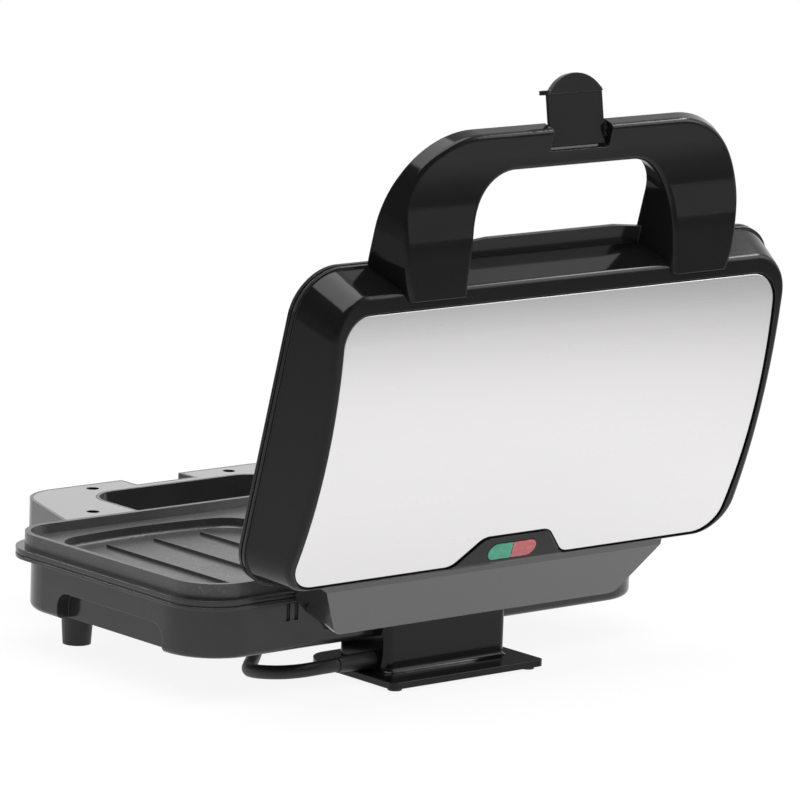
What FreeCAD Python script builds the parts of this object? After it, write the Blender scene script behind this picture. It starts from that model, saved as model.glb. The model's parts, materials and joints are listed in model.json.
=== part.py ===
"""A hinged sandwich maker, standing open: base, lid, latch, rear stand and cord, in millimetres."""
import FreeCAD, Part
import math
import os
import Sketcher
from FreeCAD import Placement, Rotation, Vector

doc = FreeCAD.newDocument("sandwich_maker")
sheet = doc.addObject("Spreadsheet::Sheet", "sizes")

# Driving dimensions. X runs across, the handles point to -Y, the hinge lies at +Y, Z is up from the table.
SIZES = (
    # both halves of the housing
    ("rim_width", 270), ("rim_depth", 148), ("rim_corner", 21), ("wall", 2.6), ("running_gap", 0.6),
    ("seat_gap", 0.2), ("overrun", 20),
    # base housing
    ("base_bottom", 18.5), ("base_rim_level", 41.5), ("base_rim_height", 4.5), ("base_inset", 3.6),
    ("tub_corner", 26), ("base_flange", 10), ("cover_corner", 12), ("base_ledge_width", 6),
    ("base_ledge_height", 2.6), ("base_edge_round", 3), ("groove_height", 1.1), ("groove_depth", 0.9),
    ("groove_drop", 1.5), ("cover_thick", 2.4), ("cover_gap", 0.25), ("grip_recess_front_inset", 37.4),
    ("grip_recess_rear_inset", 27.4), ("grip_recess_height", 12.5), ("grip_recess_depth", 6.5),
    ("grip_recess_round", 7), ("vent_x", 83.6), ("vent_pitch", 4.6), ("vent_width", 2.4),
    ("vent_low", 32.4), ("vent_high", 40.4), ("vent_depth", 1.2),
    # lower baking plate
    ("plate_inset", 3.6), ("plate_inset_y", 2.6), ("plate_corner", 20), ("plate_top", 52.7),
    ("plate_wall", 2.6), ("plate_tray_depth", 4.2), ("plate_slab", 6), ("plate_slab_inset", 9),
    ("plate_draft", 1), ("pocket_margin", 12.4), ("pocket_bow", 5.5), ("pocket_depth", 4.8),
    ("pocket_corner", 17), ("pocket_round", 1.8), ("pocket_spacing", 25), ("rib_width", 3),
    ("rib_tip_width", 0.8), ("rib_height", 1.4), ("rib_margin", 10.5), ("divider_width", 6),
    ("divider_height", 1.4),
    # hinge
    ("hinge_reach", 13.8), ("hinge_z", 45.4), ("open_angle", 104.9), ("pin_radius", 2.5),
    ("pin_fit", 0.05), ("pin_head_radius", 3.8), ("pin_head", 1.6), ("lug_width", 8.5),
    ("lug_radius", 5.5), ("lug_low", 25), ("knuckle_width", 8), ("knuckle_radius", 6.8),
    ("hinge_cover_half", 96.5), ("hinge_cover_rear_half", 81), ("hinge_cover_rear_clear", 4.9),
    ("hinge_cover_inset", 0.8), ("hinge_cover_radius", 10.5), ("hinge_cover_top", 66.4),
    ("hinge_cover_rear_top", 60.2), ("hinge_cover_wall", 2.6), ("hinge_cover_cheek", 5),
    ("hinge_cover_sill", 49.6), ("hinge_cover_lap", 10), ("hinge_cover_round", 3),
    # lid housing, drawn closed
    ("lid_level", 48), ("lid_rim_height", 4), ("lid_wall_step", 1), ("lid_top_inset", 8.4),
    ("lid_top_front_inset", 9), ("lid_top_rear_inset", 8), ("lid_top_corner", 17),
    ("lid_top_level", 80), ("crown_top", 78.6), ("crown_y", 2), ("crown_drop", 10.5),
    ("lid_plate_seat", 57), ("lid_ceiling", 67), ("lid_ledge", 8), ("lid_edge_round", 2.6),
    # steel top panel and lamp window
    ("panel_inset", 12.2), ("panel_front_inset", 14), ("panel_rear_inset", 7.2), ("panel_corner", 13),
    ("panel_thick", 0.9), ("panel_sink", 0.7), ("panel_bed", 0.1), ("panel_gap", 0.8),
    ("panel_edge_round", 0.5), ("tab_half", 18.8), ("tab_foot_half", 32), ("tab_depth", 14),
    ("tab_round", 8), ("lens_half", 13.4), ("lens_depth", 8.4), ("lens_inset", 12.8),
    ("lens_split", 0.3), ("lens_lean", 1.4), ("lens_gap", 0.2), ("lens_foot", 68.6),
    ("lens_proud", 0.3), ("holder_half", 16), ("holder_depth", 11), ("holder_height", 6),
    # upper baking plate
    ("upper_plate_gap", 0.7), ("upper_plate_inset", 5.2), ("upper_pocket_depth", 3.4),
    ("upper_plate_slab", 2.4), ("upper_rib_height", 0.9), ("upper_shield_inset", 8.8),
    ("upper_shield_clear", 4.2),
    # handles
    ("joint_level", 51), ("joint_gap", 0.3), ("lower_half", 96), ("lower_front_half", 75.5),
    ("lower_reach", 63.5), ("lower_corner", 24), ("lower_grip_low", 35.6), ("lower_leg_low", 26),
    ("lower_grip_depth", 20), ("lower_open_half", 52), ("lower_open_reach", 45.5),
    ("lower_open_corner", 17), ("handle_cover_inset", 1.6), ("handle_cover_thick", 2.4),
    ("handle_screw_x", 40.3), ("handle_screw_reach", 54.8), ("leg_screw_x", 71.4),
    ("leg_screw_reach", 13.2), ("screw_radius", 1.5), ("screw_head_radius", 2.7), ("screw_head", 1.2),
    ("screw_length", 12), ("screw_well_radius", 3), ("screw_well_depth", 4.6), ("screw_fit", 0.1),
    ("boss_wall", 1.6), ("boss_floor", 1.4), ("upper_half", 100), ("upper_top_half", 92),
    ("upper_reach", 58.4), ("upper_top_reach", 57.2), ("upper_corner", 42), ("upper_open_half", 51),
    ("upper_open_reach", 41), ("upper_open_corner", 18), ("upper_open_top_half", 60),
    ("upper_open_top_reach", 38.5), ("upper_open_top_corner", 25), ("grip_top", 58.3),
    ("grip_back_reach", 37), ("shoulder_reach", 12), ("shoulder_top", 68), ("leg_top", 73),
    ("arch_ease", 55), ("arch_edge_round", 2.2), ("bridge_reach", 7.6), ("bridge_end_reach", 5),
    ("bridge_thick", 2), ("bridge_corner", 14),
    # latch
    ("latch_reach_y", 51.9), ("latch_z", 53.6), ("latch_half", 15.4), ("latch_notch_half", 16.8),
    ("latch_notch_reach", 48.2), ("latch_face", 2), ("latch_thick", 1.6), ("latch_lean", 23.7),
    ("latch_root", 3.4), ("latch_reach", 19), ("latch_tab", 8.4), ("latch_tab_thick", 2.4),
    ("latch_barrel", 2), ("latch_pin_radius", 1.1), ("latch_pin_reach", 4.5), ("latch_sill_depth", 1.2),
    ("latch_sill_height", 0.9), ("hook_level", 18.6), ("hook_thick", 2), ("hook_reach", 3.6),
    # rear stand and feet
    ("foot_half", 44), ("foot_reach", 22), ("foot_depth", 64), ("foot_corner", 13),
    ("foot_rear_corner", 3), ("foot_thick", 3), ("pad_height", 1.5), ("pad_radius", 3.2),
    ("pad_inset", 5.5), ("neck_half", 35), ("neck_reach", 6), ("neck_depth", 34), ("neck_round", 4),
    ("neck_top", 30), ("neck_flare", 2), ("front_foot_inset", 31), ("front_foot_inset_y", 20),
    ("front_foot_radius", 7.6), ("front_foot_tip_radius", 6.4),
    # heaters and electrical pieces
    ("element_radius", 2.6), ("element_inset", 36), ("element_front_inset", 20),
    ("element_rear_inset", 22), ("element_bend", 18), ("shield_inset", 3), ("shield_top", 31),
    ("shield_thick", 0.6), ("shield_corner", 14), ("upper_shield_gap", 0.4), ("thermostat_radius", 9),
    ("thermostat_height", 7), ("thermostat_y", 12), ("fuse_radius", 2.4), ("fuse_length", 22),
    ("fuse_x", 30), ("terminal_width", 26), ("terminal_depth", 15), ("terminal_height", 9),
    ("terminal_gap", 1.4),
    # cord
    ("cord_radius", 3.1), ("gland_radius", 4.1), ("gland_tip_radius", 3.5), ("gland_length", 20),
    ("gland_inset", 10), ("gland_z", 9), ("cord_run", 8.4), ("coil_radius", 33), ("coil_pitch", 6.9),
    ("coil_layer", 7), ("coil_lift", 1.3), ("tail_run", 15), ("tie_thick", 0.8), ("tie_width", 8),
    ("tie_gap", 0.3), ("tie_slack", 0.8), ("plug_radius", 18), ("plug_flange", 16),
    ("plug_grip_radius", 13), ("plug_grip", 22), ("plug_neck_radius", 5), ("plug_neck", 12),
    ("plug_neck_tip", 4), ("plug_grip_tip", 9), ("plug_pin_radius", 2.4), ("plug_pin_length", 19),
    ("plug_pin_spacing", 19),
)
for row, (alias, number) in enumerate(SIZES, 1):
    sheet.set("A%d" % row, alias)
    sheet.set("B%d" % row, str(number))
    sheet.setAlias("B%d" % row, alias)
doc.recompute()


class Size:
    """A number together with the sheet formula that gives it."""

    def __init__(self, value, text):
        self.value = value
        self.text = text

    def __add__(self, other):
        other = size_of(other)
        return Size(self.value + other.value, "(%s + %s)" % (self.text, other.text))

    def __sub__(self, other):
        other = size_of(other)
        return Size(self.value - other.value, "(%s - %s)" % (self.text, other.text))

    def __mul__(self, other):
        other = size_of(other)
        return Size(self.value * other.value, "(%s * %s)" % (self.text, other.text))

    def __truediv__(self, other):
        other = size_of(other)
        return Size(self.value / other.value, "(%s / %s)" % (self.text, other.text))

    def __neg__(self):
        return Size(-self.value, "(-1 * %s)" % self.text)


def size_of(number):
    """Leaves a Size as it is and wraps a plain number."""
    return number if isinstance(number, Size) else Size(float(number), str(float(number)))


class Sheet:
    """Reads a named size from the sheet."""

    def __getattr__(self, alias):
        return Size(float(sheet.get(alias)), "sizes." + alias)


S = Sheet()
RIM_HALF = S.rim_width / 2
RIM_DEEP = S.rim_depth / 2
BASE_RIM_TOP = S.base_rim_level + S.base_rim_height
TUB_HALF = RIM_HALF - S.base_inset
TUB_DEEP = RIM_DEEP - S.base_inset
TUB_CORNER = S.tub_corner
HINGE_Y = RIM_DEEP + S.hinge_reach
# The lugs stand inside the knuckles, which stand inside the hinge cover's cheeks.
KNUCKLE_OUTER = S.hinge_cover_rear_half - S.hinge_cover_cheek - S.hinge_cover_rear_clear
LUG_INNER = KNUCKLE_OUTER - S.knuckle_width - S.running_gap - S.lug_width
LATCH_Y = RIM_DEEP + S.latch_reach_y
LOWER_FRONT = RIM_DEEP + S.lower_reach
UPPER_FRONT = RIM_DEEP + S.upper_reach
LATCH_NOTCH_BACK = RIM_DEEP + S.latch_notch_reach
LID_TOP_FRONT = RIM_DEEP - S.lid_top_front_inset
FOOT_REAR = RIM_DEEP + S.foot_reach
FOOT_FRONT = FOOT_REAR - S.foot_depth
NECK_REAR = RIM_DEEP + S.neck_reach
NECK_FRONT = NECK_REAR - S.neck_depth
GLAND_Y = NECK_REAR - S.gland_inset


def bind(item, name, length):
    """Ties a property to the sheet."""
    item.setExpression(name, size_of(length).text)


def body(label):
    """Starts a sub-part or a tool with sketches of its own."""
    item = doc.addObject("PartDesign::Body", label)
    item.Label = label
    return item


def sketch(owner, role="XY_Plane", offset=0):
    """A sketch on one of the body's origin planes, moved along the plane's normal."""
    item = owner.newObject("Sketcher::SketchObject", owner.Name + "_sketch")
    plane = [feature for feature in owner.Origin.OriginFeatures if feature.Role == role][0]
    item.AttachmentSupport = [(plane, "")]
    item.MapMode = "FlatFace"
    bind(item, "AttachmentOffset.Base.z", offset)
    return item


def pin_point(drawing, index, end, x, y):
    """Holds one end of a sketch line at a place given by the sheet."""
    for kind, place in (("DistanceX", size_of(x)), ("DistanceY", size_of(y))):
        number = drawing.addConstraint(Sketcher.Constraint(kind, -1, 1, index, end, place.value))
        drawing.setExpression("Constraints[%d]" % number, place.text)


def polygon(drawing, corners):
    """A closed outline of straight lines."""
    corners = [(size_of(x), size_of(y)) for x, y in corners]
    first = drawing.GeometryCount
    count = len(corners)
    for start, end in zip(corners, corners[1:] + corners[:1]):
        line = Part.LineSegment(Vector(start[0].value, start[1].value, 0), Vector(end[0].value,
                                                                                  end[1].value, 0))
        drawing.addGeometry(line, False)
    for step in range(count):
        follower = first + (step + 1) % count
        drawing.addConstraint(Sketcher.Constraint("Coincident", first + step, 2, follower, 1))
    for step, (x, y) in enumerate(corners):
        pin_point(drawing, first + step, 1, x, y)


def circle(drawing, x, y, radius):
    """A circle at a place given by the sheet."""
    x, y, radius = size_of(x), size_of(y), size_of(radius)
    disc = Part.Circle(Vector(x.value, y.value, 0), Vector(0, 0, 1), radius.value)
    index = drawing.addGeometry(disc, False)
    pin_point(drawing, index, 3, x, y)
    number = drawing.addConstraint(Sketcher.Constraint("Radius", index, radius.value))
    drawing.setExpression("Constraints[%d]" % number, radius.text)


def rounded_rectangle(drawing, half, low, high, corner):
    """A rectangle across X = 0 with round corners: four lines, each led into the next by a tangent arc."""
    half, low, high, corner = size_of(half), size_of(low), size_of(high), size_of(corner)
    first = drawing.GeometryCount
    inner, floor, roof = half - corner, low + corner, high - corner
    lines = (((-inner, low), (inner, low)), ((half, floor), (half, roof)),
             ((inner, high), (-inner, high)), ((-half, roof), (-half, floor)))
    centres = ((inner, floor), (inner, roof), (-inner, roof), (-inner, floor))
    for turn in range(4):
        start, end = lines[turn]
        line = Part.LineSegment(Vector(start[0].value, start[1].value, 0), Vector(end[0].value,
                                                                                  end[1].value, 0))
        drawing.addGeometry(line, False)
        x, y = centres[turn]
        ring = Part.Circle(Vector(x.value, y.value, 0), Vector(0, 0, 1), corner.value)
        angle = math.radians(90 * (turn - 1))
        drawing.addGeometry(Part.ArcOfCircle(ring, angle, angle + math.pi / 2), False)
    for turn in range(4):
        line = first + 2 * turn
        arc = line + 1
        following = first + 2 * ((turn + 1) % 4)
        for end in (0, 1):
            pin_point(drawing, line, end + 1, *lines[turn][end])
        drawing.addConstraint(Sketcher.Constraint("Tangent", line, 2, arc, 1))
        drawing.addConstraint(Sketcher.Constraint("Coincident", arc, 2, following, 1))


def pad(owner, drawing, length):
    """Raises a sketch along its plane's normal."""
    item = owner.newObject("PartDesign::Pad", owner.Name + "_pad")
    item.Profile = drawing
    bind(item, "Length", length)
    doc.recompute()
    return item


def pocket(owner, drawing, length, forward=False):
    """Sinks a sketch against its plane's normal, or along it, and makes sure that it cuts."""
    before = owner.Shape.Volume
    item = owner.newObject("PartDesign::Pocket", owner.Name + "_pocket")
    item.Profile = drawing
    item.Reversed = forward
    bind(item, "Length", length)
    doc.recompute()
    if owner.Shape.Volume >= before:
        raise RuntimeError("a pocket of %s cuts nothing" % owner.Label)
    return item


def loft(owner, lower, upper, cut=False):
    """Leads one outline straight into another."""
    kind = "PartDesign::SubtractiveLoft" if cut else "PartDesign::AdditiveLoft"
    item = owner.newObject(kind, owner.Name + "_loft")
    item.Profile = lower
    item.Sections = [upper]
    item.Ruled = True
    doc.recompute()
    return item


def fillet(owner, chosen, radius):
    """Rounds the edges that a rule picks."""
    base = owner.Tip
    names = ["Edge%d" % number for number, edge in enumerate(base.Shape.Edges, 1) if chosen(edge)]
    item = owner.newObject("PartDesign::Fillet", owner.Name + "_fillet")
    item.Base = (base, names)
    bind(item, "Radius", radius)
    doc.recompute()
    return item


CLOSE_SHARE = 0.05


def same(one, other):
    """Tells whether two lengths are alike to a small share of the seating gap."""
    return abs(one - other) < S.seat_gap.value * CLOSE_SHARE


def flat_at(level):
    """Picks the edges that lie at one height."""
    height = size_of(level).value
    return lambda edge: same(edge.BoundBox.ZMin, height) and same(edge.BoundBox.ZMax, height)


def upright_at(*corners):
    """Picks upright edges by their distance from the middle plane and their place along Y."""
    places = [(size_of(x).value, size_of(y).value) for x, y in corners]

    def chosen(edge):
        box = edge.BoundBox
        if not (same(box.XLength, 0) and same(box.YLength, 0)):
            return False
        return any(same(abs(box.XMin), x) and same(box.YMin, y) for x, y in places)

    return chosen


def rod(label, radius, start, length, along_x=True):
    """A round bar along X, or along Z."""
    item = doc.addObject("Part::Cylinder", label)
    item.Label = label
    turn = Rotation(Vector(0, 1, 0), 90) if along_x else Rotation()
    item.Placement = Placement(Vector(0, 0, 0), turn)
    bind(item, "Radius", radius)
    bind(item, "Height", length)
    for axis, place in zip("xyz", start):
        bind(item, "Placement.Base." + axis, place)
    doc.recompute()
    return item


def combine(kind, label, pieces):
    """A boolean of several objects: MultiFuse or MultiCommon."""
    item = doc.addObject("Part::" + kind, label)
    item.Label = label
    item.Shapes = list(pieces)
    doc.recompute()
    return item


def cut(label, base, tools):
    """Takes one or more tools away from an object."""
    tool = tools[0] if len(tools) == 1 else combine("MultiFuse", label + "_tools", tools)
    item = doc.addObject("Part::Cut", label)
    item.Label = label
    item.Base = base
    item.Tool = tool
    item.Refine = True
    doc.recompute()
    return item


def slab(label, half, low, high, corner, bottom, height):
    """An upright prism on a rounded rectangle."""
    owner = body(label)
    drawing = sketch(owner, "XY_Plane", bottom)
    rounded_rectangle(drawing, half, low, high, corner)
    pad(owner, drawing, height)
    return owner


def crown(label, drop):
    """The barrel whose upper side is the lid's arched top, lowered by a drop."""
    deep = RIM_DEEP + S.crown_y
    full = (deep * deep + S.crown_drop * S.crown_drop) / (S.crown_drop * 2)
    reach = S.rim_width + S.overrun
    return rod(label, full - drop, (-reach / 2, S.crown_y, S.crown_top - full), reach)


def brow(shape, edge):
    """Tells whether an edge lies between a face that looks up and one that looks sideways."""
    slopes = []
    for face in shape.ancestorsOfType(edge, Part.Face):
        middle = edge.valueAt((edge.FirstParameter + edge.LastParameter) / 2)
        u, v = face.Surface.parameter(middle)
        slopes.append(face.normalAt(u, v).z)
    return len(slopes) == 2 and max(slopes) > UP_SHARE and abs(min(slopes)) < SIDE_SHARE


def rounded(label, item, radius, chosen):
    """Rounds the chosen edges of a finished form."""
    numbers = [number for number, edge in enumerate(item.Shape.Edges, 1) if chosen(edge)]
    form = doc.addObject("Part::Fillet", label)
    form.Label = label
    form.Base = item
    form.Edges = [(number, radius.value, radius.value) for number in numbers]
    doc.recompute()
    return form


# How steep a face may be that still counts as looking up, or as looking sideways.
UP_SHARE = 0.75
SIDE_SHARE = 0.6


def rods(label, radius, places, low, height):
    """Upright round bars at several places, as one object."""
    bars = [rod("%s_%d" % (label, number), radius, (x, y, low), height, False)
            for number, (x, y) in enumerate(places)]
    return combine("MultiFuse", label, bars)


def screws(label, places, seat, shank, upward):
    """Screws whose heads bear on a face at one height."""
    head_low = seat - S.screw_head if upward else seat
    shank_low = seat if upward else seat - shank
    heads = rods(label + "_heads", S.screw_head_radius, places, head_low, S.screw_head)
    shanks = rods(label + "_shanks", S.screw_radius, places, shank_low, shank)
    return combine("MultiFuse", label + "_group", [heads, shanks])


def mirrored(x, y):
    """A place and its twin across the middle plane."""
    return [(x, y), (-x, y)]


base_pieces = []
lid_pieces = []
latch_pieces = []
cord_pieces = []


def keep(group, item, label):
    """Files a finished sub-part under its node name."""
    item.Label = label
    group.append(item)
    return item


# Base housing: tub, rim with its groove, ledge for the bottom cover, side finger recesses and hinge lugs.
base_form = slab("base_form", TUB_HALF, -TUB_DEEP, TUB_DEEP, TUB_CORNER, S.base_bottom,
                 S.base_rim_level - S.base_bottom)
fillet(base_form, flat_at(S.base_bottom), S.base_edge_round)
rim_sketch = sketch(base_form, "XY_Plane", S.base_rim_level)
rounded_rectangle(rim_sketch, RIM_HALF, -RIM_DEEP, RIM_DEEP, S.rim_corner)
pad(base_form, rim_sketch, S.base_rim_height)


def rim_groove(label, level):
    """The shadow line that runs round a rim."""
    owner = body(label)
    drawing = sketch(owner, "XY_Plane", level)
    inner = RIM_HALF - S.groove_depth
    deep = RIM_DEEP - S.groove_depth
    rounded_rectangle(drawing, RIM_HALF + S.overrun, -RIM_DEEP - S.overrun, RIM_DEEP + S.overrun,
                      S.rim_corner)
    rounded_rectangle(drawing, inner, -deep, deep, S.rim_corner - S.groove_depth)
    pad(owner, drawing, S.groove_height)
    return owner


cavity_half = TUB_HALF - S.wall
cavity_deep = TUB_DEEP - S.wall
cavity_corner = TUB_CORNER - S.wall
cover_half = TUB_HALF - S.base_flange
cover_deep = TUB_DEEP - S.base_flange
ledge_top = S.base_bottom + S.cover_thick + S.base_ledge_height
base_room = slab("base_room", cavity_half, -cavity_deep, cavity_deep, cavity_corner, ledge_top,
                 BASE_RIM_TOP - ledge_top + S.overrun)
ledge_hole = slab("ledge_hole", cover_half - S.base_ledge_width, S.base_ledge_width - cover_deep,
                  cover_deep - S.base_ledge_width, S.cover_corner, S.base_bottom, S.overrun)
cover_seat = slab("cover_seat", cover_half, -cover_deep, cover_deep, S.cover_corner,
                  S.base_bottom - S.overrun,
                  S.overrun + S.cover_thick)


def grip_recess(label, side, skin):
    """A finger recess low in a side wall, or the same grown by the skin that lines it."""
    owner = body(label)
    inside = TUB_HALF - S.grip_recess_depth - skin
    outside = TUB_HALF + S.overrun
    drawing = sketch(owner, "YZ_Plane", inside if side > 0 else -outside)
    low = S.base_bottom - S.overrun
    top = S.base_bottom + S.grip_recess_height + skin
    front = S.grip_recess_front_inset - TUB_DEEP - skin
    rear = TUB_DEEP - S.grip_recess_rear_inset + skin
    polygon(drawing, ((front, low), (rear, low), (rear, top), (front, top)))
    pad(owner, drawing, outside - inside)

    def top_corner(edge):
        """Picks the two upper corners, which run across."""
        area = edge.BoundBox
        return same(area.YLength, 0) and same(area.ZLength, 0) and same(area.ZMin, top.value)

    fillet(owner, top_corner, S.grip_recess_round + skin)
    return owner


def hinge_lug(label, side):
    """An arm on the rear wall that carries one hinge pin."""
    owner = body(label)
    inside = LUG_INNER if side > 0 else -LUG_INNER - S.lug_width
    root = TUB_DEEP - S.wall / 2
    across = S.lug_radius * LUG_ACROSS_SHARE
    upward = S.lug_radius * LUG_UPWARD_SHARE
    drawing = sketch(owner, "YZ_Plane", inside)
    polygon(drawing, ((root, S.lug_low), (HINGE_Y + across, S.hinge_z - upward),
                      (HINGE_Y - across, S.hinge_z + upward), (root, S.base_rim_level)))
    pad(owner, drawing, S.lug_width)
    barrel = sketch(owner, "YZ_Plane", inside)
    circle(barrel, HINGE_Y, S.hinge_z, S.lug_radius)
    pad(owner, barrel, S.lug_width)
    return owner


# Where the bottom cover's screws sit, as a share of its half depth.
COVER_SCREW_SHARE = 0.6
# Where the lug's flanks touch its barrel, as shares of the barrel's radius.
LUG_ACROSS_SHARE = 0.6
LUG_UPWARD_SHARE = 0.8
SIDES = (("right", 1), ("left", -1))
lugs = [hinge_lug("lug_" + name, side) for name, side in SIDES]
recesses = [grip_recess("grip_recess_" + name, side, size_of(0)) for name, side in SIDES]
linings = [grip_recess("grip_lining_" + name, side, S.wall) for name, side in SIDES]
base_cavity = cut("base_cavity", base_room, linings)
pin_hole = rod("pin_hole", S.pin_radius + S.pin_fit, (-KNUCKLE_OUTER, HINGE_Y, S.hinge_z), KNUCKLE_OUTER * 2)
base_body = combine("MultiFuse", "base_body", [base_form] + lugs)
base_groove = rim_groove("base_groove", S.base_rim_level + S.groove_drop)
cover_screw_x = cover_half - S.base_ledge_width / 2
cover_screw_y = cover_deep * COVER_SCREW_SHARE
cover_screws = mirrored(cover_screw_x, cover_screw_y) + mirrored(cover_screw_x, -cover_screw_y)
cover_holes = rods("cover_holes", S.screw_radius + S.screw_fit, cover_screws, S.base_bottom - S.overrun,
                   S.overrun + ledge_top)
base_tools = [base_cavity, ledge_hole, cover_seat, base_groove, pin_hole, cover_holes] + recesses


def vent(label, middle):
    """A shallow upright slot in the rear wall."""
    owner = body(label)
    drawing = sketch(owner, "XY_Plane", S.vent_low)
    half = S.vent_width / 2
    deep = TUB_DEEP - S.vent_depth
    polygon(drawing, ((middle - half, deep), (middle + half, deep), (middle + half, RIM_DEEP + S.overrun),
                      (middle - half, RIM_DEEP + S.overrun)))
    pad(owner, drawing, S.vent_high - S.vent_low)
    return owner


for number in (0, 1):
    base_tools.append(vent("vent_right_%d" % number, S.vent_x - S.vent_pitch * number))
    base_tools.append(vent("vent_left_%d" % number, -S.vent_x + S.vent_pitch * number))
base_shell = keep(base_pieces, cut("base_shell_solid", base_body, base_tools), "base_shell")

# Bottom cover with its screws, and the two front feet below it.
cover_form = slab("bottom_cover_form", cover_half - S.cover_gap, S.cover_gap - cover_deep,
                  cover_deep - S.cover_gap,
                  S.cover_corner, S.base_bottom, S.cover_thick)
keep(base_pieces, cut("bottom_cover_solid", cover_form, [cover_holes]), "bottom_cover")
keep(base_pieces, screws("cover_screw", cover_screws, S.base_bottom, S.cover_thick + S.base_ledge_height,
                         True),
     "bottom_cover_screws")
feet = []
for name, side in SIDES:
    foot = doc.addObject("Part::Cone", "front_foot_" + name)
    bind(foot, "Radius1", S.front_foot_tip_radius)
    bind(foot, "Radius2", S.front_foot_radius)
    bind(foot, "Height", S.base_bottom)
    bind(foot, "Placement.Base.x", (RIM_HALF - S.front_foot_inset) * side)
    bind(foot, "Placement.Base.y", S.front_foot_inset_y - RIM_DEEP)
    feet.append(foot)
keep(base_pieces, combine("MultiFuse", "front_feet_group", feet), "front_feet")

# Lower baking plate: tray with drafted walls, two bowed pockets with tapering ribs, a ridge between them.
PLATE_HALF = RIM_HALF - S.plate_inset
PLATE_DEEP = RIM_DEEP - S.plate_inset_y
RIBS_PER_POCKET = 3
# How far the ribs stand from one another, as a share of the pocket's half width.
RIB_PITCH_SHARE = 0.5
plate = slab("lower_plate_form", PLATE_HALF, -PLATE_DEEP, PLATE_DEEP, S.plate_corner, BASE_RIM_TOP,
             S.plate_top - BASE_RIM_TOP)
tray_floor = S.plate_top - S.plate_tray_depth


def plate_outline(owner, level, inset):
    """The plate's own outline, drawn in by an inset."""
    drawing = sketch(owner, "XY_Plane", level)
    deep = PLATE_DEEP - inset
    rounded_rectangle(drawing, PLATE_HALF - inset, -deep, deep, S.plate_corner - inset)
    return drawing


def bowed_outline(drawing, near, far, deep, bow):
    """A pocket beside the middle plane: straight sides, and ends that bow outwards."""
    end = deep - bow
    reach = (far - near) / 2
    radius = (reach * reach + bow * bow) / (bow * 2)
    middle = (near + far) / 2
    corners = ((near, -end), (far, -end), (far, end), (near, end))
    first = drawing.GeometryCount
    for turn, (start, stop) in enumerate(zip(corners, corners[1:] + corners[:1])):
        points = [Vector(x.value, y.value, 0) for x, y in (start, stop)]
        if turn % 2:
            drawing.addGeometry(Part.LineSegment(*points), False)
        else:
            crest = Vector(middle.value, deep.value * (turn - 1), 0)
            drawing.addGeometry(Part.Arc(points[0], crest, points[1]), False)
            number = drawing.addConstraint(Sketcher.Constraint("Radius", first + turn, radius.value))
            drawing.setExpression("Constraints[%d]" % number, radius.text)
    for turn in (1, 3):
        pin_point(drawing, first + turn, 1, *corners[turn])
        pin_point(drawing, first + turn, 2, *corners[(turn + 1) % 4])
    for arc in (0, 2):
        before, after = first + (arc + 3) % 4, first + arc + 1
        ends = (1, 2) if same(drawing.Geometry[first + arc].StartPoint.x, corners[arc][0].value) else (2, 1)
        drawing.addConstraint(Sketcher.Constraint("Coincident", before, 2, first + arc, ends[0]))
        drawing.addConstraint(Sketcher.Constraint("Coincident", first + arc, ends[1], after, 1))


def pockets(owner, half, deep, level, depth, upward, rib_height):
    """Two bowed pockets, each with ribs that taper towards the handle."""
    floor = level + depth if upward else level - depth
    near = S.pocket_spacing / 2
    far = half - S.pocket_margin
    for left, right in ((near, far), (-far, -near)):
        edge = sketch(owner, "XY_Plane", level)
        bowed_outline(edge, left, right, deep - S.pocket_margin, S.pocket_bow)
        pocket(owner, edge, depth, upward)

    def pocket_corner(line):
        """Picks the pockets' upright corners."""
        area = line.BoundBox
        flat = same(area.XLength, 0) and same(area.YLength, 0)
        return flat and same(area.ZMin, min(level.value, floor.value)) and same(area.ZLength, depth.value)

    fillet(owner, pocket_corner, S.pocket_corner)
    fillet(owner, flat_at(floor), S.pocket_round)
    pocket_half = (half - S.pocket_margin - S.pocket_spacing / 2) / 2
    pocket_middle = half - S.pocket_margin - pocket_half
    reach = deep - S.pocket_margin - S.rib_margin
    for side in (1, -1):
        for number in range(RIBS_PER_POCKET):
            middle = pocket_middle * side + pocket_half * (RIB_PITCH_SHARE * (number - 1))
            rib = sketch(owner, "XY_Plane", floor)
            polygon(rib, ((middle - S.rib_tip_width / 2, -reach), (middle + S.rib_tip_width / 2, -reach),
                          (middle + S.rib_width / 2, reach), (middle - S.rib_width / 2, reach)))
            item = pad(owner, rib, rib_height)
            item.Reversed = upward
            doc.recompute()


loft(plate, plate_outline(plate, tray_floor, S.plate_wall + S.plate_draft),
     plate_outline(plate, S.plate_top, S.plate_wall), True)
slab_half = PLATE_HALF - S.plate_slab_inset
slab_deep = PLATE_DEEP - S.plate_slab_inset
slab_sketch = sketch(plate, "XY_Plane", BASE_RIM_TOP - S.plate_slab)
rounded_rectangle(slab_sketch, slab_half, -slab_deep, slab_deep, S.plate_corner - S.plate_slab_inset)
pad(plate, slab_sketch, S.plate_slab)
pockets(plate, PLATE_HALF, PLATE_DEEP, tray_floor, S.pocket_depth, False, S.rib_height)
divider = sketch(plate, "XY_Plane", tray_floor)
divider_deep = PLATE_DEEP - S.pocket_margin
polygon(divider, ((-S.divider_width / 2, -divider_deep), (S.divider_width / 2, -divider_deep),
                  (S.divider_width / 2, divider_deep), (-S.divider_width / 2, divider_deep)))
pad(plate, divider, S.divider_height)
keep(base_pieces, plate, "lower_plate")


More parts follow.
